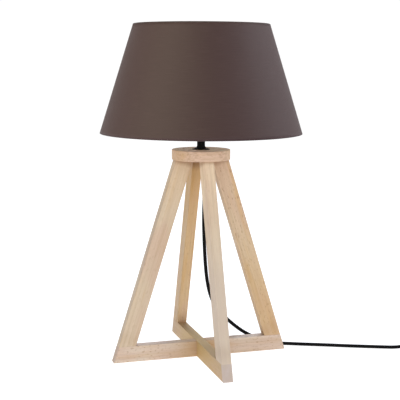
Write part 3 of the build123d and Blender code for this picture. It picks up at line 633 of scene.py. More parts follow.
class FormTree:
    """A Geometry Nodes tree with named inputs, grown into a plain mesh."""

    def __init__(self, name: str, lengths: dict[str, float], numbers: dict[str, float]) -> None:
        """Starts a tree whose inputs are the named lengths, given in millimetres, and the plain numbers."""
        self.tree = bpy.data.node_groups.new(name, "GeometryNodeTree")
        self.board = Board(self.tree)
        self.sizes = {**{size: value * MM for size, value in lengths.items()}, **numbers}
        face = self.tree.interface
        face.new_socket(name="Geometry", in_out="OUTPUT", socket_type="NodeSocketGeometry")
        self.keys = {}
        for size, value in self.sizes.items():
            kind = "NodeSocketInt" if isinstance(value, int) else "NodeSocketFloat"
            self.keys[size] = face.new_socket(name=size, in_out="INPUT", socket_type=kind).identifier
        self.entry = self.tree.nodes.new("NodeGroupInput")

    def size(self, name: str) -> Wire:
        """Returns the wire from a named input."""
        return Wire(self.board, self.entry.outputs[name])

    def raised(self, shape: Wire, height: Wire) -> Wire:
        """Returns a shape lifted along Z."""
        links = {"Geometry": shape, "Translation": self.board.place(high=height)}
        return self.board.add("GeometryNodeTransform", None, links)

    def close(self, shape: Wire, material: Material) -> None:
        """Ends the tree in Realize Instances and Set Material."""
        whole = self.board.add("GeometryNodeRealizeInstances", None, {0: shape})
        dressed = self.board.add("GeometryNodeSetMaterial", None, {0: whole, "Material": material})
        self.board.add("NodeGroupOutput", None, {0: dressed})

    def grow(self, name: str) -> Mesh:
        """Evaluates the tree on an empty mesh.

        Args:
            name: the new mesh's name.

        Returns:
            The plain mesh.
        """
        seed = linked(name, bpy.data.meshes.new(name))
        modifier = seed.modifiers.new("form", "NODES")
        modifier.node_group = self.tree
        for size, value in self.sizes.items():
            modifier[self.keys[size]] = value
        mesh = evaluated(seed)
        while len(mesh.materials) and mesh.materials[0] is None:
            mesh.materials.pop(index=0)
        bpy.data.objects.remove(seed)
        return mesh


def round_thread(name: str, radius: float, ridge: float, pitch: float, low: float, turns: float,
                 material: Material) -> Mesh:
    """Grows a rounded screw thread that lies half in its core.

    Args:
        name: the mesh's name.
        radius: from the axis to the middle of the ridge, in millimetres.
        ridge: the ridge's own radius.
        pitch: rise in one turn.
        low: height of the thread's start.
        turns: number of turns.
        material: its finish.

    Returns:
        The closed ridge.
    """
    lengths = {"Radius": radius, "Ridge": ridge, "Rise": pitch * turns, "Low": low}
    form = FormTree(name, lengths, {"Turns": turns})
    board = form.board
    spiral = board.add("GeometryNodeCurveSpiral", None, {
        "Resolution": THREAD_STEPS, "Rotations": form.size("Turns"), "Start Radius": form.size("Radius"),
        "End Radius": form.size("Radius"), "Height": form.size("Rise"), "Reverse": False,
    })
    section = board.add("GeometryNodeCurvePrimitiveCircle", {"mode": "RADIUS"}, {
        "Resolution": RIDGE_STEPS, "Radius": form.size("Ridge"),
    })
    links = {"Curve": spiral, "Profile Curve": section, "Fill Caps": True}
    swept = board.add("GeometryNodeCurveToMesh", None, links)
    form.close(form.raised(swept, form.size("Low")), material)
    return form.grow(name)


# Camera, light and floor


class Flagged(Enum):
    """What a softbox is flagged to light: the shade alone, or all but the shade."""

    SHADE = "INCLUDE"
    BASE = "EXCLUDE"


@dataclass(frozen=True)
class Softbox:
    """One soft rectangular light, aimed at the middle of the lamp."""

    name: str
    flagged: Flagged
    azimuth: float  # in degrees, 0 in front of the lamp and 90 on its right
    elevation: float
    distance: float
    width: float
    height: float
    watts: float
    tint: Colour = (1.0, 1.0, 1.0)
    aim: float = 0.25

    def hang(self, shade: Sequence[Object]) -> None:
        """Puts the light in the scene.

        Args:
            shade: the pieces that make up the outside of the shade.
        """
        data = bpy.data.lights.new(self.name, "AREA")
        data.shape = "RECTANGLE"
        data.size, data.size_y = self.width, self.height
        data.energy = self.watts
        data.color = self.tint
        across, up = math.radians(self.azimuth), math.radians(self.elevation)
        reach, rise = self.distance * math.cos(up), self.distance * math.sin(up)
        aim = Vector((0, 0, self.aim))
        place = aim + Vector((reach * math.sin(across), -reach * math.cos(across), rise))
        turn = (aim - place).to_track_quat("-Z", "Y").to_matrix().to_4x4()
        lamp = linked(self.name, data)
        lamp.matrix_world = Matrix.Translation(place) @ turn
        flags = bpy.data.collections.new(f"{self.name}_flags")
        for piece in shade:
            flags.objects.link(piece)
        for entry in flags.collection_objects:
            entry.light_linking.link_state = self.flagged.value
        lamp.light_linking.receiver_collection = flags


@dataclass(frozen=True)
class Studio:
    """The camera at the photograph's angle, soft lights, a white surround and a pale glowing floor."""

    azimuth: float = -16.936
    distance: float = 1.44414
    height: float = 0.45003
    pitch: float = 8.289
    yaw: float = -0.047
    roll: float = 0.260
    focal_pixels: float = 973.49
    frame_pixels: float = 400.0
    sensor: float = 36.0
    floor_radius: float = 4.0
    floor_drop: float = 0.0004
    floor_thickness: float = 0.010
    horizon: float = 1.03
    ceiling: float = 0.12
    fall: tuple[float, float] = (0.15, 0.40)  # the surround dims between these sines of its elevation
    ceiling_tint: Colour = (0.90, 0.97, 1.06)
    softboxes: tuple[Softbox, ...] = (
        Softbox("base_left", Flagged.BASE, -32.0, 16.0, 2.6, 1.2, 1.2, 12.4),
        Softbox("base_right", Flagged.BASE, 22.0, 16.0, 2.6, 1.2, 1.2, 8.4),
        Softbox("base_high", Flagged.BASE, -10.0, 65.0, 2.4, 1.4, 1.0, 11.0, (0.86, 0.97, 1.10)),
        Softbox("base_back", Flagged.BASE, 165.0, 50.0, 2.4, 1.2, 1.0, 38.0, (0.84, 0.96, 1.20)),
        Softbox("shade_left", Flagged.SHADE, -65.0, 33.0, 1.9, 0.45, 1.2, 30.0, (0.96, 1.0, 0.70)),
        Softbox("shade_right", Flagged.SHADE, 82.0, 33.0, 1.9, 0.45, 1.2, 23.0),
    )

    def place_camera(self) -> None:
        """Makes the camera and sets it as the scene's own."""
        heading = math.radians(-self.azimuth + self.yaw)
        pitch, roll, side = (math.radians(angle) for angle in (self.pitch, self.roll, self.azimuth))
        level_part = math.cos(pitch)
        forward = Vector((level_part * math.sin(heading), level_part * math.cos(heading), -math.sin(pitch)))
        level = forward.cross(UP).normalized()
        upright = level.cross(forward)
        right = level * math.cos(roll) + upright * math.sin(roll)
        above = right.cross(forward)
        place = Vector((self.distance * math.sin(side), -self.distance * math.cos(side), self.height))
        data = bpy.data.cameras.new("photo_camera")
        data.sensor_width = self.sensor
        data.lens = self.focal_pixels / self.frame_pixels * self.sensor
        camera = linked("photo_camera", data)
        turn = Matrix((right, above, -forward)).transposed()
        camera.matrix_world = Matrix.Translation(place) @ turn.to_4x4()
        bpy.context.scene.camera = camera

    def lay_floor(self) -> None:
        """Lays the floor just under the lamp."""
        edge, high = self.floor_radius / MM, -self.floor_drop / MM
        low = high - self.floor_thickness / MM
        slab = lathe([(0, high), (edge, high), (edge, low), (0, low)])
        new_piece("floor", slab, FloorFinish().dress())

    def light_surround(self) -> None:
        """Makes the surround: white at the horizon, dimmer and cooler overhead."""
        world = bpy.data.worlds.new("studio")
        world.use_nodes = True
        board = Board(world.node_tree)
        direction = board.add("ShaderNodeTexCoord", None, None, "Generated")
        rise = board.split(direction)[2].fade(*self.fall)
        tint = board.mix(rise, (1.0, 1.0, 1.0), self.ceiling_tint)
        strength = self.horizon - rise * (self.horizon - self.ceiling)
        sky = board.add("ShaderNodeBackground", None, {"Color": tint, "Strength": strength})
        board.add("ShaderNodeOutputWorld", None, {"Surface": sky})
        bpy.context.scene.world = world

    def set_up(self) -> None:
        """Makes the camera, the floor and the surround."""
        self.place_camera()
        self.lay_floor()
        self.light_surround()
        bpy.context.scene.view_settings.view_transform = "Standard"
        LOG.info("camera, floor and surround ready")

    def hang_lights(self, shade: Sequence[Object]) -> None:
        """Hangs the softboxes, each flagged off what it isn't for."""
        for softbox in self.softboxes:
            softbox.hang(shade)
        LOG.info("%d softboxes", len(self.softboxes))


# Flex


@dataclass
class Flex:
    """The black mains flex, one spline from the bush under the disc to the plug."""

    diameter: float = 5.4 * MM
    length: float = 1.80
    exit: Point = (0.0, 0.0, 0.301)
    # Down inside the legs, over the floor behind the right rail and past the end of the foot
    route: tuple[Point, ...] = (
        (0.0, 0.0, 0.301),
        (0.0028, -0.0018, 0.275),
        (0.0048, -0.0022, 0.244),
        (0.0042, -0.001, 0.212),
        (0.0055, 0.0, 0.180),
        (0.0072, 0.0002, 0.148),
        (0.0101, 0.0006, 0.118),
        (0.0155, 0.001, 0.093),
        (0.026, 0.0045, 0.071),
        (0.043, 0.010, 0.0535),
        (0.062, 0.017, 0.036),
        (0.083, 0.022, 0.0205),
        (0.106, 0.023, 0.0095),
        (0.129, 0.0175, 0.0027),
        (0.152, 0.0075, 0.0027),
        (0.175, -0.003, 0.0027),
        (0.202, -0.014, 0.0027),
        (0.228, -0.026, 0.0027),
        (0.254, -0.037, 0.0027),
        (0.281, -0.048, 0.0027),
        (0.308, -0.0585, 0.0027),
    )
    switch_in: Point = (0.346, -0.0665, 0.009)
    switch_heading: float = -8.0
    switch_span: float = 0.062
    switch_lead: float = 0.014
    coil_lead: float = 0.030
    coil_radius: float = 0.0375
    coil_pitch: float = 0.006
    coil_half_turns: int = 5
    steps_per_half_turn: int = 12
    tail: tuple[Point, ...] = ((0.4885, 0.001, 0.0045), (0.4845, 0.025, 0.0027))
    tail_lead: float = 0.012
    plug_in: Point = (0.473, 0.062, 0.00685)
    plug_heading: float = 98.0
    plug_lead: float = 0.013
    sleeve_length: float = 0.026
    colour: Colour = shade_of(15, 14, 14)

    @staticmethod
    def heading(degrees: float) -> Vector:
        """Returns the level direction at an angle from +X towards +Y."""
        return Vector((math.cos(math.radians(degrees)), math.sin(math.radians(degrees)), 0))

    def coil(self) -> list[Vector]:
        """Works out the coil's turns in its own frame, with the cord coming from the switch along +X.

        Returns:
            Control points: half turns that spiral in on the floor, one that climbs, and the rest on top.
        """
        low, high = self.diameter / 2, self.diameter / 2 + self.coil_pitch
        start = self.diameter
        entry = start + self.coil_lead
        level = self.switch_in[2]
        # The flex comes down to the floor between the switch and the coil
        points = [Vector((start, 0, level)), Vector((entry - self.coil_lead * 0.62, 0, level * 0.78)),
                  Vector((entry - self.coil_lead * 0.30, 0, low * 1.12))]
        radii = [self.coil_radius - step * self.coil_pitch / 2 for step in range(self.coil_half_turns + 1)]
        radii += radii[-2:0:-1]
        side, away = 0.0, 1
        # Control points stand a little outside the arc that the spline draws
        stand_out = 1 / math.cos(math.pi / self.steps_per_half_turn / 2) ** 1.2
        for index, radius in enumerate([*radii, self.coil_radius]):
            centre = side + away * radius
            last = index == len(radii)
            steps = self.steps_per_half_turn // 2 if last else self.steps_per_half_turn
            for step in range(steps):
                share = (step + 0.5) / self.steps_per_half_turn
                angle = math.pi * (share - 0.5) + (0 if away > 0 else math.pi)
                climb = min(1.0, max(0.0, index - self.coil_half_turns + share))
                ahead, aside = radius * stand_out * math.cos(angle), radius * stand_out * math.sin(angle)
                height = low + (high - low) * climb * climb * (3 - 2 * climb)
                points.append(Vector((entry + ahead, centre + aside, height)))
            side += away * 2 * radius if not last else away * radius
            away = -away
        points.append(Vector((entry + self.coil_radius, side, high)))
        points.append(Vector((entry + self.coil_radius, side + self.diameter, high)))
        return points

    def points(self) -> list[Vector]:
        """Returns the whole route's control points, in metres."""
        along = self.heading(self.switch_heading)
        switch_in = Vector(self.switch_in)
        switch_out = switch_in + along * self.switch_span
        placing = Matrix.Translation((switch_out.x, switch_out.y, 0)) @ Matrix.Rotation(
            math.radians(self.switch_heading), 4, "Z"
        )
        coil = [placing @ point for point in self.coil()]
        onward = self.heading(self.switch_heading + 90)
        inward = self.heading(self.plug_heading)
        plug_in = Vector(self.plug_in)
        return [
            *[Vector(point) for point in self.route],
            switch_in - along * self.switch_lead,
            switch_in,
            switch_in + along * self.switch_span / 2,
            switch_out,
            *coil,
            coil[-1] + onward * self.tail_lead,
            *[Vector(point) for point in self.tail],
            plug_in - inward * self.plug_lead,
            plug_in,
            plug_in + inward * self.sleeve_length,
        ]

    def build(self) -> None:
        data = bpy.data.curves.new("flex", "CURVE")
        data.dimensions = "3D"
        spline = data.splines.new("NURBS")
        points = self.points()
        spline.points.add(len(points) - 1)
        for knot, point in zip(spline.points, points):
            knot.co = (*point, 1.0)
        spline.order_u = 3
        spline.use_endpoint_u = True
        spline.resolution_u = 6
        data.bevel_depth = self.diameter / 2
        data.bevel_resolution = 5
        data.use_fill_caps = True
        piece = linked("flex", data)
        data.materials.append(MouldedFinish("flex_black", self.colour, 0.60, gloss=0.06, worn=0.06).dress())
        finish_piece(piece, "lamp", "cord_black", "cord_drop", "cord_coil", "cord_tail", "cord_ends")


# Wooden base


@dataclass
class WoodenBase:
    """The crossed rails, the four legs and the disc, each with its grain along its own length."""

    lean: float = (136.0 - 41.0) / 301.0
    rail_end: Band = Band(0.1335, 0.1362, 0.16)
    foot_end: Band = Band(0.1325, 0.1350, 0.85, shade_of(198, 181, 172))
    # Painted shade and warm reflected light: both rails turn darker amber towards their crossing
    crossing_shade_painted: Band = Band(0.068, 0.014, 0.80, shade_of(186, 150, 108))
    cross_side_shade_painted: Band = Band(0.16, 0.02, 0.75, shade_of(194, 162, 108))
    disc_side: Band = Band(0.024, 0.043, 0.35, OCHRE)
    # Painted shadow of the disc: each leg darkens just below its top, the back leg most
    shoulder: Band = Band(0.2680, 0.2765, 0.55)
    back_shoulder_shade_painted: Band = Band(0.2600, 0.2765, 0.75)
    toe: Band = Band(0.018, 0.0, 0.15)
    pale: Colour = shade_of(213, 195, 177)
    amber: Colour = shade_of(192, 166, 126)
    disc_tone: Colour = shade_of(207, 177, 151)

    def rails_and_disc(self) -> dict[str, BeechFinish]:
        """Returns the finishes of the rails, the disc and the dowels, by node."""
        along, back, up = (1, 0, 0), (0, 1, 0), (0, 0, 1)
        rail_x, rail_y = (self.rail_end, self.crossing_shade_painted), (self.cross_side_shade_painted, self.foot_end)
        disc = (self.disc_side,)
        return {
            "rail_x": BeechFinish("beech_rail_x", along, 7.7, self.pale, 0.25, 0.40, rail_x, self.lean),
            "rail_y": BeechFinish("beech_rail_y", back, 9.1, self.amber, 0.45, 0.25, rail_y, self.lean),
            "top_disc": BeechFinish("beech_disc", along, 11.9, self.disc_tone, 0.30, 0.20, disc, banding=1.5),
            "foot_dowels": BeechFinish("beech_foot_dowels", up, 13.3, self.pale),
            "top_dowels": BeechFinish("beech_top_dowels", up, 15.1, self.pale),
        }

    def leg(self, side: str, foot: float, seed: float, tone: Colour, streaks: float, flecks: float,
            change: Band) -> BeechFinish:
        """Returns one leg's finish, with its grain along its lean.

        Args:
            side: where the leg stands.
            foot: heading of its foot from the middle, in degrees.
            seed: picks the board.
            tone: the board's own tone.
            streaks: how strong the streaks are.
            flecks: how strong the flecks are.
            change: where the board's tone changes slowly along its length; on the back leg it is partly
                painted shade towards the top.

        Returns:
            The finish.
        """
        out = Flex.heading(foot)
        grain = (-out.x * self.lean, -out.y * self.lean, 1.0)
        bands = (change, self.back_shoulder_shade_painted if side == "back" else self.shoulder, self.toe)
        return BeechFinish(f"beech_leg_{side}", grain, seed, tone, streaks, flecks, bands)

    def build(self, nodes: Nodes) -> None:
        """Gives every wooden node its own beech.

        Args:
            nodes: the frame's nodes by name.
        """
        deep, grey = shade_of(198, 156, 96), shade_of(204, 187, 170)
        finishes = self.rails_and_disc()
        for side, *board in (
            ("right", 0.0, 1.3, shade_of(211, 187, 156), 0.50, 0.42, Band(0.19, 0.03, 0.45, OCHRE)),
            # The back leg's band is partly its board and partly painted shade under the disc and behind the
            # legs in front
            ("back", 90.0, 2.9, shade_of(207, 178, 138), 0.60, 0.20, Band(0.12, 0.25, 0.60, deep)),
            ("left", 180.0, 4.1, shade_of(209, 189, 163), 0.22, 0.12, Band(0.19, 0.27, 0.15, OCHRE)),
            ("front", 270.0, 5.7, shade_of(226, 204, 174), 0.24, 0.10, Band(0.25, 0.06, 0.75, grey)),
        ):
            finishes[f"leg_{side}"] = self.leg(side, *board)
        for name, finish in finishes.items():
            dress_nodes(nodes, finish, name)


# Neck and lampholder


@dataclass
class Holder:
    """The black neck, the lampholder with its threaded skirt, and the clamp ring."""

    disc_top: float = 316.0
    bore: float = 5.05
    base: float = 13.25
    neck: float = 6.0
    rim: float = 1.5
    flare: float = 6.2
    collar: float = 14.0
    body: float = 19.5
    wall: float = 2.0
    cap_top: float = 352.0
    shoulder: float = 364.5
    shoulder_radius: float = 22.5
    shoulder_thickness: float = 2.5
    core_top: float = 361.5
    skirt_top: float = 390.0
    skirt_bore: float = 13.5
    thread_root: float = 19.0
    thread_ridge: float = 0.6
    thread_pitch: float = 2.5
    ring_low: float = 367.3
    ring_height: float = 9.0
    ring_outside: float = 26.0
    ring_bore: float = 19.9
    ring_ease: float = 0.6
    ring_grips: int = 24
    ring_grip_depth: float = 0.9
    ring_grip_reach: float = 1.5
    ring_facets: int = 12  # for each grip
    collar_ease: float = 0.25
    skirt_ease: float = 0.4

    def build_collar(self, black: Material) -> None:
        """Makes the flared neck with a softened foot."""
        low, top = self.disc_top, self.disc_top + self.collar
        throat = self.disc_top + self.flare
        # The flare is an arc that meets the straight neck without a corner
        run, rise = self.base - self.neck, throat - (low + self.rim)
        radius = (run**2 + rise**2) / (2 * run)
        centre = (self.neck + radius, throat)
        swing = math.degrees(math.asin(min(1.0, rise / radius)))
        flare = arc(centre, radius, 180 + swing, 180, 16)
        ease = self.collar_ease
        outline = [(self.bore, low), (self.base - ease, low), (self.base, low + ease), *flare,
                   (self.neck, top - ease), (self.neck - ease, top), (self.bore, top)]
        finish_piece(new_piece("neck", lathe(outline), black), "lamp", "holder_black", "neck_collar")

    def build_skirt(self, black: Material) -> None:
        """Makes the skirt with the screw thread that takes the clamp ring."""
        shoulder_low = self.shoulder - self.shoulder_thickness
        ease = self.skirt_ease
        outline = [
            (self.body - self.wall, self.cap_top), (self.body, self.cap_top), (self.body, shoulder_low),
            (self.shoulder_radius - ease, shoulder_low), (self.shoulder_radius, shoulder_low + ease),
            (self.shoulder_radius, self.shoulder - ease), (self.shoulder_radius - ease, self.shoulder),
            (self.thread_root, self.shoulder), (self.thread_root, self.skirt_top - ease),
            (self.thread_root - ease, self.skirt_top), (self.skirt_bore + ease, self.skirt_top),
            (self.skirt_bore, self.skirt_top - ease), (self.skirt_bore, self.core_top),
            (self.body - self.wall, self.core_top),
        ]
        low = self.shoulder + self.thread_pitch
        turns = (self.skirt_top - self.thread_ridge - 1 - low) / self.thread_pitch
        sizes = (self.thread_root, self.thread_ridge, self.thread_pitch, low, turns)
        name = "holder_skirt_threaded"
        mesh = joined(name, [lathe(outline), round_thread("skirt_thread", *sizes, black)])
        finish_piece(new_piece(name, mesh, black), "lamp", "holder_black", "holder_skirt")

    def build_ring(self, black: Material) -> None:
        """Grows the clamp ring with its finger grips."""
        lengths = {
            "Middle": (self.ring_outside + self.ring_bore) / 2,
            "Wall": self.ring_outside - self.ring_bore,
            "Height": self.ring_height,
            "Ease": self.ring_ease,
            "Low": self.ring_low,
            "Grip Depth": self.ring_grip_depth,
            "Grip Start": self.ring_outside - self.ring_grip_reach,
        }
        form = FormTree("clamp_ring_form", lengths, {"Grips": self.ring_grips})
        board = form.board
        circle = board.add("GeometryNodeCurvePrimitiveCircle", {"mode": "RADIUS"}, {
            "Resolution": self.ring_grips * self.ring_facets, "Radius": form.size("Middle"),
        })
        section = board.add("GeometryNodeCurvePrimitiveQuadrilateral", {"mode": "RECTANGLE"}, {
            "Width": form.size("Wall"), "Height": form.size("Height"),
        })
        eased = board.add("GeometryNodeFilletCurve", {"mode": "POLY"}, {
            "Curve": section, "Radius": form.size("Ease"), "Count": 3,
        })
        ring = board.add("GeometryNodeCurveToMesh", None, {"Curve": circle, "Profile Curve": eased})
        across, along, _ = board.split(board.add("GeometryNodeInputPosition"))
        angle = board.add("ShaderNodeMath", {"operation": "ARCTAN2"}, {0: along, 1: across})
        reach = (across * across + along * along) ** 0.5
        groove = ((angle * form.size("Grips")).cosine() * 2 - 1).at_least(0.0)
        push = groove * form.size("Grip Depth") * (reach - form.size("Grip Start")).over(0.0)
        spoke = board.place(across, along)
        outward = board.add("ShaderNodeVectorMath", {"operation": "NORMALIZE"}, {0: spoke})
        moved = board.add("ShaderNodeVectorMath", {"operation": "SCALE"}, {0: outward, "Scale": 0 - push})
        grooved = board.add("GeometryNodeSetPosition", None, {"Geometry": ring, "Offset": moved})
        form.close(form.raised(grooved, form.size("Low") + form.size("Height") * 0.5), black)
        name = "clamp_ring_grips"
        finish_piece(new_piece(name, form.grow(name)), "clamp_ring", "holder_black", "clamp_ring")

    def build(self, nodes: Nodes) -> None:
        """Makes the neck, the skirt and the ring, and dresses the nodes that stay."""
        black = MouldedFinish("holder_black", shade_of(14, 12, 11), 0.60, gloss=0.10, worn=0.06).dress()
        self.build_collar(black)
        self.build_skirt(black)
        self.build_ring(black)
        dress_nodes(nodes, black, "holder_cap", "cord_bush")
        steel = MetalFinish("zinc_steel", shade_of(196, 198, 200), shade_of(160, 160, 158)).dress()
        dress_nodes(nodes, steel, "stem_tube", "stem_washer", "stem_nut")
        dress_nodes(nodes, steel, "terminal_screws", "foot_screws", "lap_screw", "switch_screws")
        brass = MetalFinish("contact_brass", shade_of(205, 168, 92), shade_of(164, 126, 66))
        dress_nodes(nodes, brass, "centre_contact", "side_contact", "switch_contacts")
        for name, title, tone, rough, grain in (
            ("holder_core", "core_white", shade_of(232, 230, 224), 0.75, Grain.SPARK),
            ("slip_washer", "fibre", shade_of(140, 84, 62), 0.85, Grain.SPARK),
            ("cord_inner", "sheath_black", shade_of(24, 23, 24), 0.45, Grain.SATIN),
        ):
            dress_nodes(nodes, MouldedFinish(title, tone, rough, grain), name)


# Bulb


@dataclass
class Bulb:
    """A globe bulb with a 27 mm screw cap."""

    cap_low: float = 369.5
    housing_low: float = 390.3
    housing_top: float = 430.3
    root: float = 12.3
    ridge: float = 0.9
    pitch: float = 3.63
    wall: float = 1.0
    glass_radius: float = 30.0
    glass_wall: float = 1.2
    equator: float = 10.0
    glass_steps: int = 28

    def build(self, nodes: Nodes) -> None:
        """Makes the threaded cap and the opal globe, and dresses the nodes that stay."""
        shell = MetalFinish("bulb_shell", shade_of(206, 204, 200), shade_of(168, 166, 160), 0.30).dress()
        inside = self.root - self.wall
        sleeve = lathe([(inside, self.cap_low), (self.root, self.cap_low), (self.root, self.housing_low),
                        (inside, self.housing_low)])
        turns = (self.housing_low - self.cap_low - 3 * self.ridge) / self.pitch
        sizes = (self.root, self.ridge, self.pitch, self.cap_low + self.ridge, turns)
        name = "bulb_cap_threaded"
        mesh = joined(name, [sleeve, round_thread("cap_thread", *sizes, shell)])
        finish_piece(new_piece(name, mesh, shell), "bulb", "bulb_shell", "bulb_cap")
        centre = (0.0, self.housing_top + self.equator)
        dip = math.degrees(math.asin(self.equator / self.glass_radius))
        inner_radius = self.glass_radius - self.glass_wall
        inner_dip = math.degrees(math.asin(self.equator / inner_radius))
        outside = arc(centre, self.glass_radius, -dip, 90, self.glass_steps)
        inner = arc(centre, inner_radius, 90, -inner_dip, self.glass_steps)
        outside[-1], inner[0] = (0, centre[1] + self.glass_radius), (0, centre[1] + inner_radius)
        opal = MouldedFinish("bulb_opal", shade_of(242, 241, 237), 0.18, Grain.SMOOTH, glow=0.35, worn=0.02)
        globe = new_piece("bulb_globe_opal", lathe([*outside, *inner]), opal.dress())
        finish_piece(globe, "bulb", "bulb_glass", "bulb_globe")
        white = MouldedFinish("bulb_white", shade_of(238, 238, 236), 0.32, worn=0.04)
        dress_nodes(nodes, white, "bulb_housing")
        dress_nodes(nodes, shell, "bulb_button")
        cap_glass = MouldedFinish("cap_glass", shade_of(26, 25, 26), 0.15, Grain.SMOOTH)
        dress_nodes(nodes, cap_glass, "bulb_insulator")
        metal = MetalFinish("board_metal", shade_of(220, 220, 220), shade_of(190, 190, 190), 0.4)
        dress_nodes(nodes, metal, "bulb_board")


# Shade


@dataclass
class Shade:
    """The tapered cotton shade on its stiff lining, with its seam at the back."""

    low: float = 340.0
    height: float = 160.0
    lower_radius: float = 150.0
    upper_radius: float = 100.0
    cloth: float = 0.5
    liner_inside: float = 0.95
    wire: float = 3.0
    gap: float = 0.05
    turn_in: float = 9.0
    seam_at: float = 78.0
    seam_width: float = 11.0
    seam_rise: float = 0.55
    seam_run: float = 0.35 / 60  # share of the way round in which the lap rises
    waver: float = 0.12
    waver_spread: tuple[float, float] = (9, 2)
    pucker: float = 0.10
    # Strength, number round the shade and shift of the puckers' waves
    puckers: tuple[Point, ...] = ((1.0, 61, 0.0), (0.6, 97, 1.1))
    cloth_share: float = 0.9  # share of its thickness that the cloth gets, clear of the lining
    columns: int = 361
    rows: int = 33
    fold_steps: int = 12

    def radius_at(self, height: float, inset: float = 0.0) -> float:
        """Returns the shade's outer radius at a height, less an inset."""
        taper = (self.lower_radius - self.upper_radius) / self.height
        return self.lower_radius - taper * (height - self.low) - inset

    @property
    def slant(self) -> float:
        """Length of the shade's side, in millimetres."""
        return math.hypot(self.height, self.lower_radius - self.upper_radius)

    def build_cloth(self, cotton: Material) -> Object:
        """Returns:
            The cloth.
        """
        middle = (self.lower_radius + self.upper_radius) / 2
        lap = self.seam_width / middle
        rim, sweep = self.cloth, FULL_TURN + lap
        lengths = {
            "Lower Radius": self.radius_at(self.low + rim),
            "Upper Radius": self.radius_at(self.low + self.height - rim),
            "Low": self.low + rim,
            "Height": self.height - 2 * rim,
            "Lap Rise": self.seam_rise,
            "Round Length": middle * sweep,
            "Side Length": self.slant,
            "Waver": self.waver,
        }
        numbers = {
            "Start Angle": math.radians(self.seam_at), "Sweep": sweep, "Lap Share": 1 - lap / sweep,
        }
        form = FormTree("shade_cloth_form", lengths, numbers)
        board = form.board
        grid = board.add("GeometryNodeMeshGrid", None, {
            "Size X": 1.0, "Size Y": 1.0, "Vertices X": self.columns, "Vertices Y": self.rows,
        })
        across, along, _ = board.split(board.add("GeometryNodeInputPosition"))
        round_share, up_share = across + 0.5, along + 0.5
        angle = form.size("Start Angle") + round_share * form.size("Sweep")
        lifted = (round_share - form.size("Lap Share")).fade(-self.seam_run, 0.0)
        rise = lifted * form.size("Lap Rise")
        waves_round, waves_up = self.waver_spread
        spread = board.place(round_share * waves_round, up_share * waves_up)
        waver = (board.noise(spread, 1.0) - 0.5) * form.size("Waver")
        span = form.size("Lower Radius") - form.size("Upper Radius")
        reach = form.size("Lower Radius") - span * up_share + rise + waver
        high = form.size("Low") + up_share * form.size("Height")
        place = board.place(reach * angle.cosine(), reach * angle.sine(), high)
        flat = board.place(round_share * form.size("Round Length"), up_share * form.size("Side Length"))
        mapped = board.add("GeometryNodeStoreNamedAttribute", {"data_type": "FLOAT2", "domain": "CORNER"}, {
            "Geometry": grid, "Name": "UVMap", "Value": flat,
        })
        bent = board.add("GeometryNodeSetPosition", None, {"Geometry": mapped, "Position": place})
        form.close(bent, cotton)
        cloth = new_piece("shade_cloth", form.grow("shade_cloth"))
        solid = cloth.modifiers.new("thickness", "SOLIDIFY")
        solid.thickness = self.cloth * MM * self.cloth_share
        solid.offset = -1.0
        cloth.data = evaluated(cloth)
        return cloth

    def hem_outline(self, edge: float, upwards: int) -> Outline:
        """Returns the section of the cloth folded round a rim wire and turned in over the lining.

        Args:
            edge: height of the shade's edge.
            upwards: 1 at the lower edge and -1 at the upper one.

        Returns:
            The closed section.
        """
        thick = self.cloth
        wire = self.wire + 2 * self.gap
        level = edge + upwards * (thick + wire / 2)
        taper = math.atan((self.lower_radius - self.upper_radius) / self.height)
        centre_radius = self.radius_at(level, self.liner_inside + self.gap + self.wire / 2 / math.cos(taper))
        outer = self.radius_at(level)
        big = wire / 2 + thick
        folds: list[Outline] = []
        # Each side of the fold is an arc, drawn out to meet the shade's outside
        for radius, meets in ((big, outer), (wire / 2, outer - thick)):
            folds.append([])
            for step in range(self.fold_steps + 1):
                angle = math.radians(-upwards * 180 * step / self.fold_steps)
                stretch = 1 + (meets - centre_radius - radius) / radius * max(0.0, math.cos(angle))
                reach = centre_radius + radius * stretch * math.cos(angle)
                folds[-1].append((reach, level + radius * math.sin(angle)))
        over = edge + upwards * (thick + wire + 2 * thick)
        end = over + upwards * self.turn_in
        laid = self.liner_inside + self.gap
        corners = ((over, laid + thick), (end, laid + thick), (end, laid), (over, laid))
        turn_in = [(self.radius_at(height, inset), height) for height, inset in corners]
        return [*folds[0], *turn_in, *reversed(folds[1])]

    def build_hem(self, node: str, edge: float, upwards: int, cotton: Material) -> Object:
        """Turns one hem, puckers its turned-in edge and maps it like the cloth.

        Args:
            node: the hem's CAD node.
            edge: height of the shade's edge.
            upwards: 1 at the lower edge and -1 at the upper one.
            cotton: its finish.

        Returns:
            The hem.
        """
        mesh = lathe(self.hem_outline(edge, upwards), self.columns - 1)
        inner_from = self.radius_at(edge, self.liner_inside + self.wire + 1)
        for vertex in mesh.vertices:
            reach = math.hypot(vertex.co.x, vertex.co.y)
            angle = math.atan2(vertex.co.y, vertex.co.x)
            if reach / MM < inner_from and abs(vertex.co.z / MM - edge) > self.wire + 2:
                waves = sum(part * math.sin(count * angle + shift) for part, count, shift in self.puckers)
                share = (reach - abs(self.pucker * MM * waves)) / reach
                vertex.co.x *= share
                vertex.co.y *= share
        layer = mesh.uv_layers.new(name="UVMap")
        middle = self.radius_at(edge) * MM
        for polygon in mesh.polygons:
            centre = polygon.center
            for loop in polygon.loop_indices:
                spot = mesh.vertices[mesh.loops[loop].vertex_index].co
                angle = math.atan2(spot.y, spot.x)
                # A face at the turn from pi to -pi keeps to its own side
                if centre.x < 0 and (centre.y * spot.y < 0 or abs(abs(angle) - math.pi) < 1e-5):
                    angle = math.copysign(math.pi, centre.y)
                layer.data[loop].uv = (angle * middle, spot.z - (math.hypot(spot.x, spot.y) - middle))
        return finish_piece(new_piece(f"shade_{node}", mesh, cotton), "shade", "shade_cotton", node)

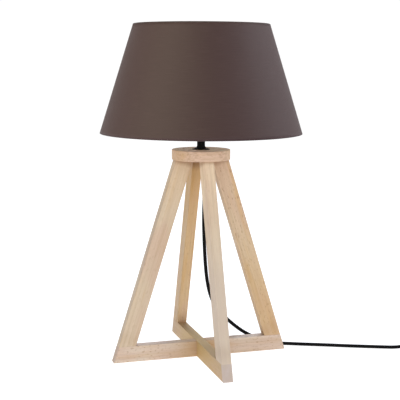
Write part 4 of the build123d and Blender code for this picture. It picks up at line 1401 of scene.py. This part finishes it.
    def build(self, nodes: Nodes) -> list[Object]:
        """Makes the cloth and hems, and dresses the lining and the wires.

        Args:
            nodes: the frame's nodes by name.

        Returns:
            The pieces of cloth.
        """
        cotton = CottonFinish().dress()
        cloth = self.build_cloth(cotton)
        finish_piece(cloth, "shade", "shade_cotton", "shade_fabric")
        lower = self.build_hem("lower_hem", self.low, 1, cotton)
        upper = self.build_hem("upper_hem", self.low + self.height, -1, cotton)
        area = math.pi * (self.lower_radius + self.upper_radius) * self.slant * MM * MM
        area += self.seam_width * self.slant * MM * MM
        liner = MouldedFinish("liner_film", shade_of(238, 234, 224), 0.42, glow=0.2, worn=0.03)
        dress_nodes(nodes, liner, "shade_liner")
        paint = MouldedFinish("white_wire", shade_of(236, 236, 234), 0.35, worn=0.06)
        dress_nodes(nodes, paint, "spider", "lower_rim_wire", "upper_rim_wire")
        return [cloth, lower, upper]


# Switch and plug


@dataclass
class CordFittings:
    """The inline switch and the plug: moulded black, with grip ribs on the plug."""

    plug_place: Point = (0.473, 0.062, 0.0)
    plug_heading: float = 98.0
    plug_top: float = 13.7
    rib_count: int = 6
    rib_length: float = 13.0
    rib_width: float = 1.0
    rib_rise: float = 0.35
    rib_pitch: float = 2.3
    rib_middle: float = 46.5
    rib_points: tuple[int, int, int] = (3, 9, 3)

    def ribs(self, name: str, material: Material) -> Mesh:
        """Grows the row of grip ribs on the plug's upper face, in the plug's own frame.

        Args:
            name: the mesh's name.
            material: its finish.

        Returns:
            The ribs as one mesh.
        """
        lengths = {
            "Start": self.rib_middle - self.rib_pitch * (self.rib_count - 1) / 2,
            "Pitch": self.rib_pitch,
            "Level": self.plug_top,
            "Width": self.rib_width,
            "Length": self.rib_length,
            "Rise": self.rib_rise * 2,
        }
        form = FormTree(name, lengths, {"Count": self.rib_count})
        board = form.board
        row = board.add("GeometryNodeMeshLine", {"mode": "OFFSET"}, {
            "Count": form.size("Count"),
            "Start Location": board.place(form.size("Start"), high=form.size("Level")),
            "Offset": board.place(form.size("Pitch")),
        })
        size = board.place(form.size("Width"), form.size("Length"), form.size("Rise"))
        rib = board.add("GeometryNodeMeshCube", None, dict(enumerate((size, *self.rib_points))))
        ribs = board.add("GeometryNodeInstanceOnPoints", None, {"Points": row, "Instance": rib})
        form.close(ribs, material)
        return form.grow(name)

    def build(self, nodes: Nodes) -> None:
        """Dresses the switch and the plug, and adds the grips."""
        black = MouldedFinish("moulded_black", shade_of(25, 25, 26), 0.52, Grain.SPARK).dress()
        gloss = MouldedFinish("rocker_black", shade_of(18, 18, 19), 0.22, Grain.SMOOTH)
        nickel = MetalFinish("pin_nickel", shade_of(212, 208, 200), shade_of(176, 170, 160), 0.22)
        dress_nodes(nodes, black, "switch_base", "switch_cover")
        dress_nodes(nodes, black, "plug_body", "plug_sleeve", "plug_pin_sleeves")
        dress_nodes(nodes, gloss, "switch_rocker")
        dress_nodes(nodes, nickel, "plug_pins")
        mesh = self.ribs("plug_grips", black)
        turn = Matrix.Rotation(math.radians(self.plug_heading), 4, "Z")
        mesh.transform(Matrix.Translation(self.plug_place) @ turn)
        finish_piece(new_piece("plug_grips", mesh, black), "lamp", "moulded_black")


def main() -> None:
    """Loads the frame and builds every sub-assembly on it."""
    logging.basicConfig(level=logging.INFO, format="%(name)s %(message)s")
    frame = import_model()
    nodes = frame["nodes"]
    studio = Studio()
    studio.set_up()
    Flex().build()
    WoodenBase().build(nodes)
    Holder().build(nodes)
    Bulb().build(nodes)
    studio.hang_lights(Shade().build(nodes))
    CordFittings().build(nodes)


if __name__ == "__main__":
    main()
